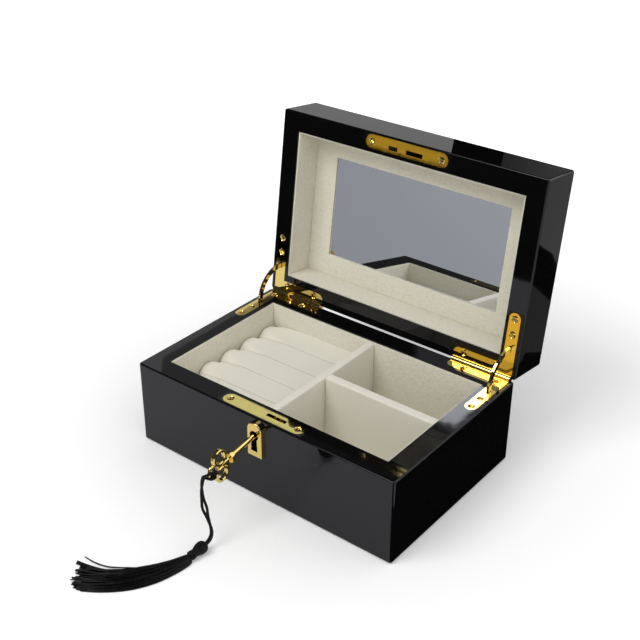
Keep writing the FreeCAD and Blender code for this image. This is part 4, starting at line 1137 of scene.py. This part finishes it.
def cards_back():
    """What the rims and the lid's top see behind the box."""
    left = [(-160, 112), (-200, 112), (-430, 300), (-325, 300), (-313, 240)]
    backdrop_card("card_back_left", left, grey(0.65))
    far = [(-430, 112), (-185, 112), (-185, 300), (-430, 300)]
    backdrop_card("card_back_far_left", far, grey(0.25), -0.5)
    backdrop_card("card_back_bright", [(-180, 180), (-6, 180), (-6, 204), (-180, 204)], grey(0.5))
    backdrop_card("card_back_dark", [(-6, 180), (33, 180), (33, 204), (-6, 204)], grey(0.0))
    right = [(33, 180), (110, 180), (110, 204), (33, 204)]
    backdrop_card("card_back_right", right, grey(0.2), fades=[("X", 0.3, 1.0)])
    plate = [(-32, -64.2, 59), (32, -64.2, 59), (32, -53.8, 59), (-32, -53.8, 59)]
    outline = [bounced(spot, Vector((0, 0, 1)), 1, BACKDROP_Y).xz for spot in plate]
    backdrop_card("card_back_lock", outline, (0.6, 0.68, 0.66), 0.2)


# Where the bright card over the key stands from the key, in millimetres
STRIPE_DIRECTION = Vector((0.55, 0.4, 0.73)).normalized()
STRIPE_DISTANCE = 600.0
STRIPE_HALF = 480.0


def card_overhead():
    """A bright card above and behind the right side, which lays a stripe of light along the key's shank."""
    middle = KEY_SPOT / MM + STRIPE_DIRECTION * STRIPE_DISTANCE
    side = STRIPE_DIRECTION.orthogonal().normalized()
    across = STRIPE_DIRECTION.cross(side)
    corners = []
    for right, up in ((-1, -1), (1, -1), (1, 1), (-1, 1)):
        corners.append(middle + (side * right + across * up) * STRIPE_HALF)
    stage_card("card_overhead", corners, grey(1.1))


# What hides the lamp from the right rim's mirrored sight, as places on the rim: a wavy front and an edge
RIM_Z = 59.0
SHADE_BEFORE_LAMP = 5
SHADE_FRONT = [
    (80, 2.5), (84, 0.6), (86, -0.8), (87.5, 1.2), (89, 0.4), (90.5, -1.4), (92, 0.8), (93.5, 1.6), (95, 0.2),
    (97, 1.0), (101, 0.0), (101, -26), (80, -26),
]
SHADE_EDGE = [(96.2, -10), (96.6, 6), (96.2, 20), (96.4, 75), (104, 75), (104, -10)]


def lamp_spot(x, y):
    """Where the sight of a place on the rim, mirrored there and in the glass, comes close to the lamp."""
    spot = Vector((x, y, RIM_Z))
    ahead = (spot - CAMERA_SPOT / MM).normalized()
    ahead.z = -ahead.z
    meeting = spot + ahead * ((GLASS_SPOT - spot).dot(LID_FACE) / ahead.dot(LID_FACE))
    ahead -= LID_FACE * (2 * ahead.dot(LID_FACE))
    level = KEY_DISTANCE / MM - SHADE_BEFORE_LAMP + KEY_AIM.z / MM * KEY_DIRECTION.z
    return meeting + ahead * ((level - meeting.dot(KEY_DIRECTION)) / ahead.dot(KEY_DIRECTION))


def cards_lamp():
    """Dark cards in front of parts of the lamp, which only the mirrored sight of the right rim meets."""
    for name, outline in (("card_lamp_front", SHADE_FRONT), ("card_lamp_edge", SHADE_EDGE)):
        stage_card(name, [lamp_spot(x, y) for x, y in outline], grey(0.05))


# Painted reflection in the right hinge: glow of cards that stand in for the lit lining in front of it, as its
# gold leaf and leg see them
HINGE_LEAF_GLOW = (0.47, 0.35, 0.085)
HINGE_LEG_GLOW = (0.7, 0.5, 0.12)
HINGE_CARD_Y = 5.0


def cards_hinge():
    """Painted reflection: glowing cards on the mirrored sight of the right hinge's lid leaf and leg, standing
    in for the lit lining in front of them.
    """
    leaf = [(54, 67.5, 59), (101, 67.5, 59), (101, 69, 71), (87, 69, 71), (54, 69, 71)]
    leg = [(89, 69, 71), (101, 69, 71), (101, 73.3, 104), (89, 73.3, 104)]
    seen = [bounced(spot, LID_FACE, 1, HINGE_CARD_Y) for spot in leaf]
    stage_card("card_hinge_leaf", seen, HINGE_LEAF_GLOW)
    seen = [bounced(spot, LID_FACE, 1, HINGE_CARD_Y) for spot in leg]
    stage_card("card_hinge_leg", seen, HINGE_LEG_GLOW)


def studio():
    """The floor, the light and the cards that the object reflects."""
    floor()
    key_light()
    sky()
    cards_right()
    cards_front()
    cards_back()
    cards_hinge()
    card_overhead()
    cards_lamp()


make_camera()
paint_frame()
cord, cord_line = cord_strands()
hitch()
head = tassel_head()
tassel_skirt()
linings()
felt_sheet()
divider("centre_divider", False)
divider("cross_divider", True)
ring_cushion()
studio()

bpy.context.scene.view_settings.view_transform = "Standard"
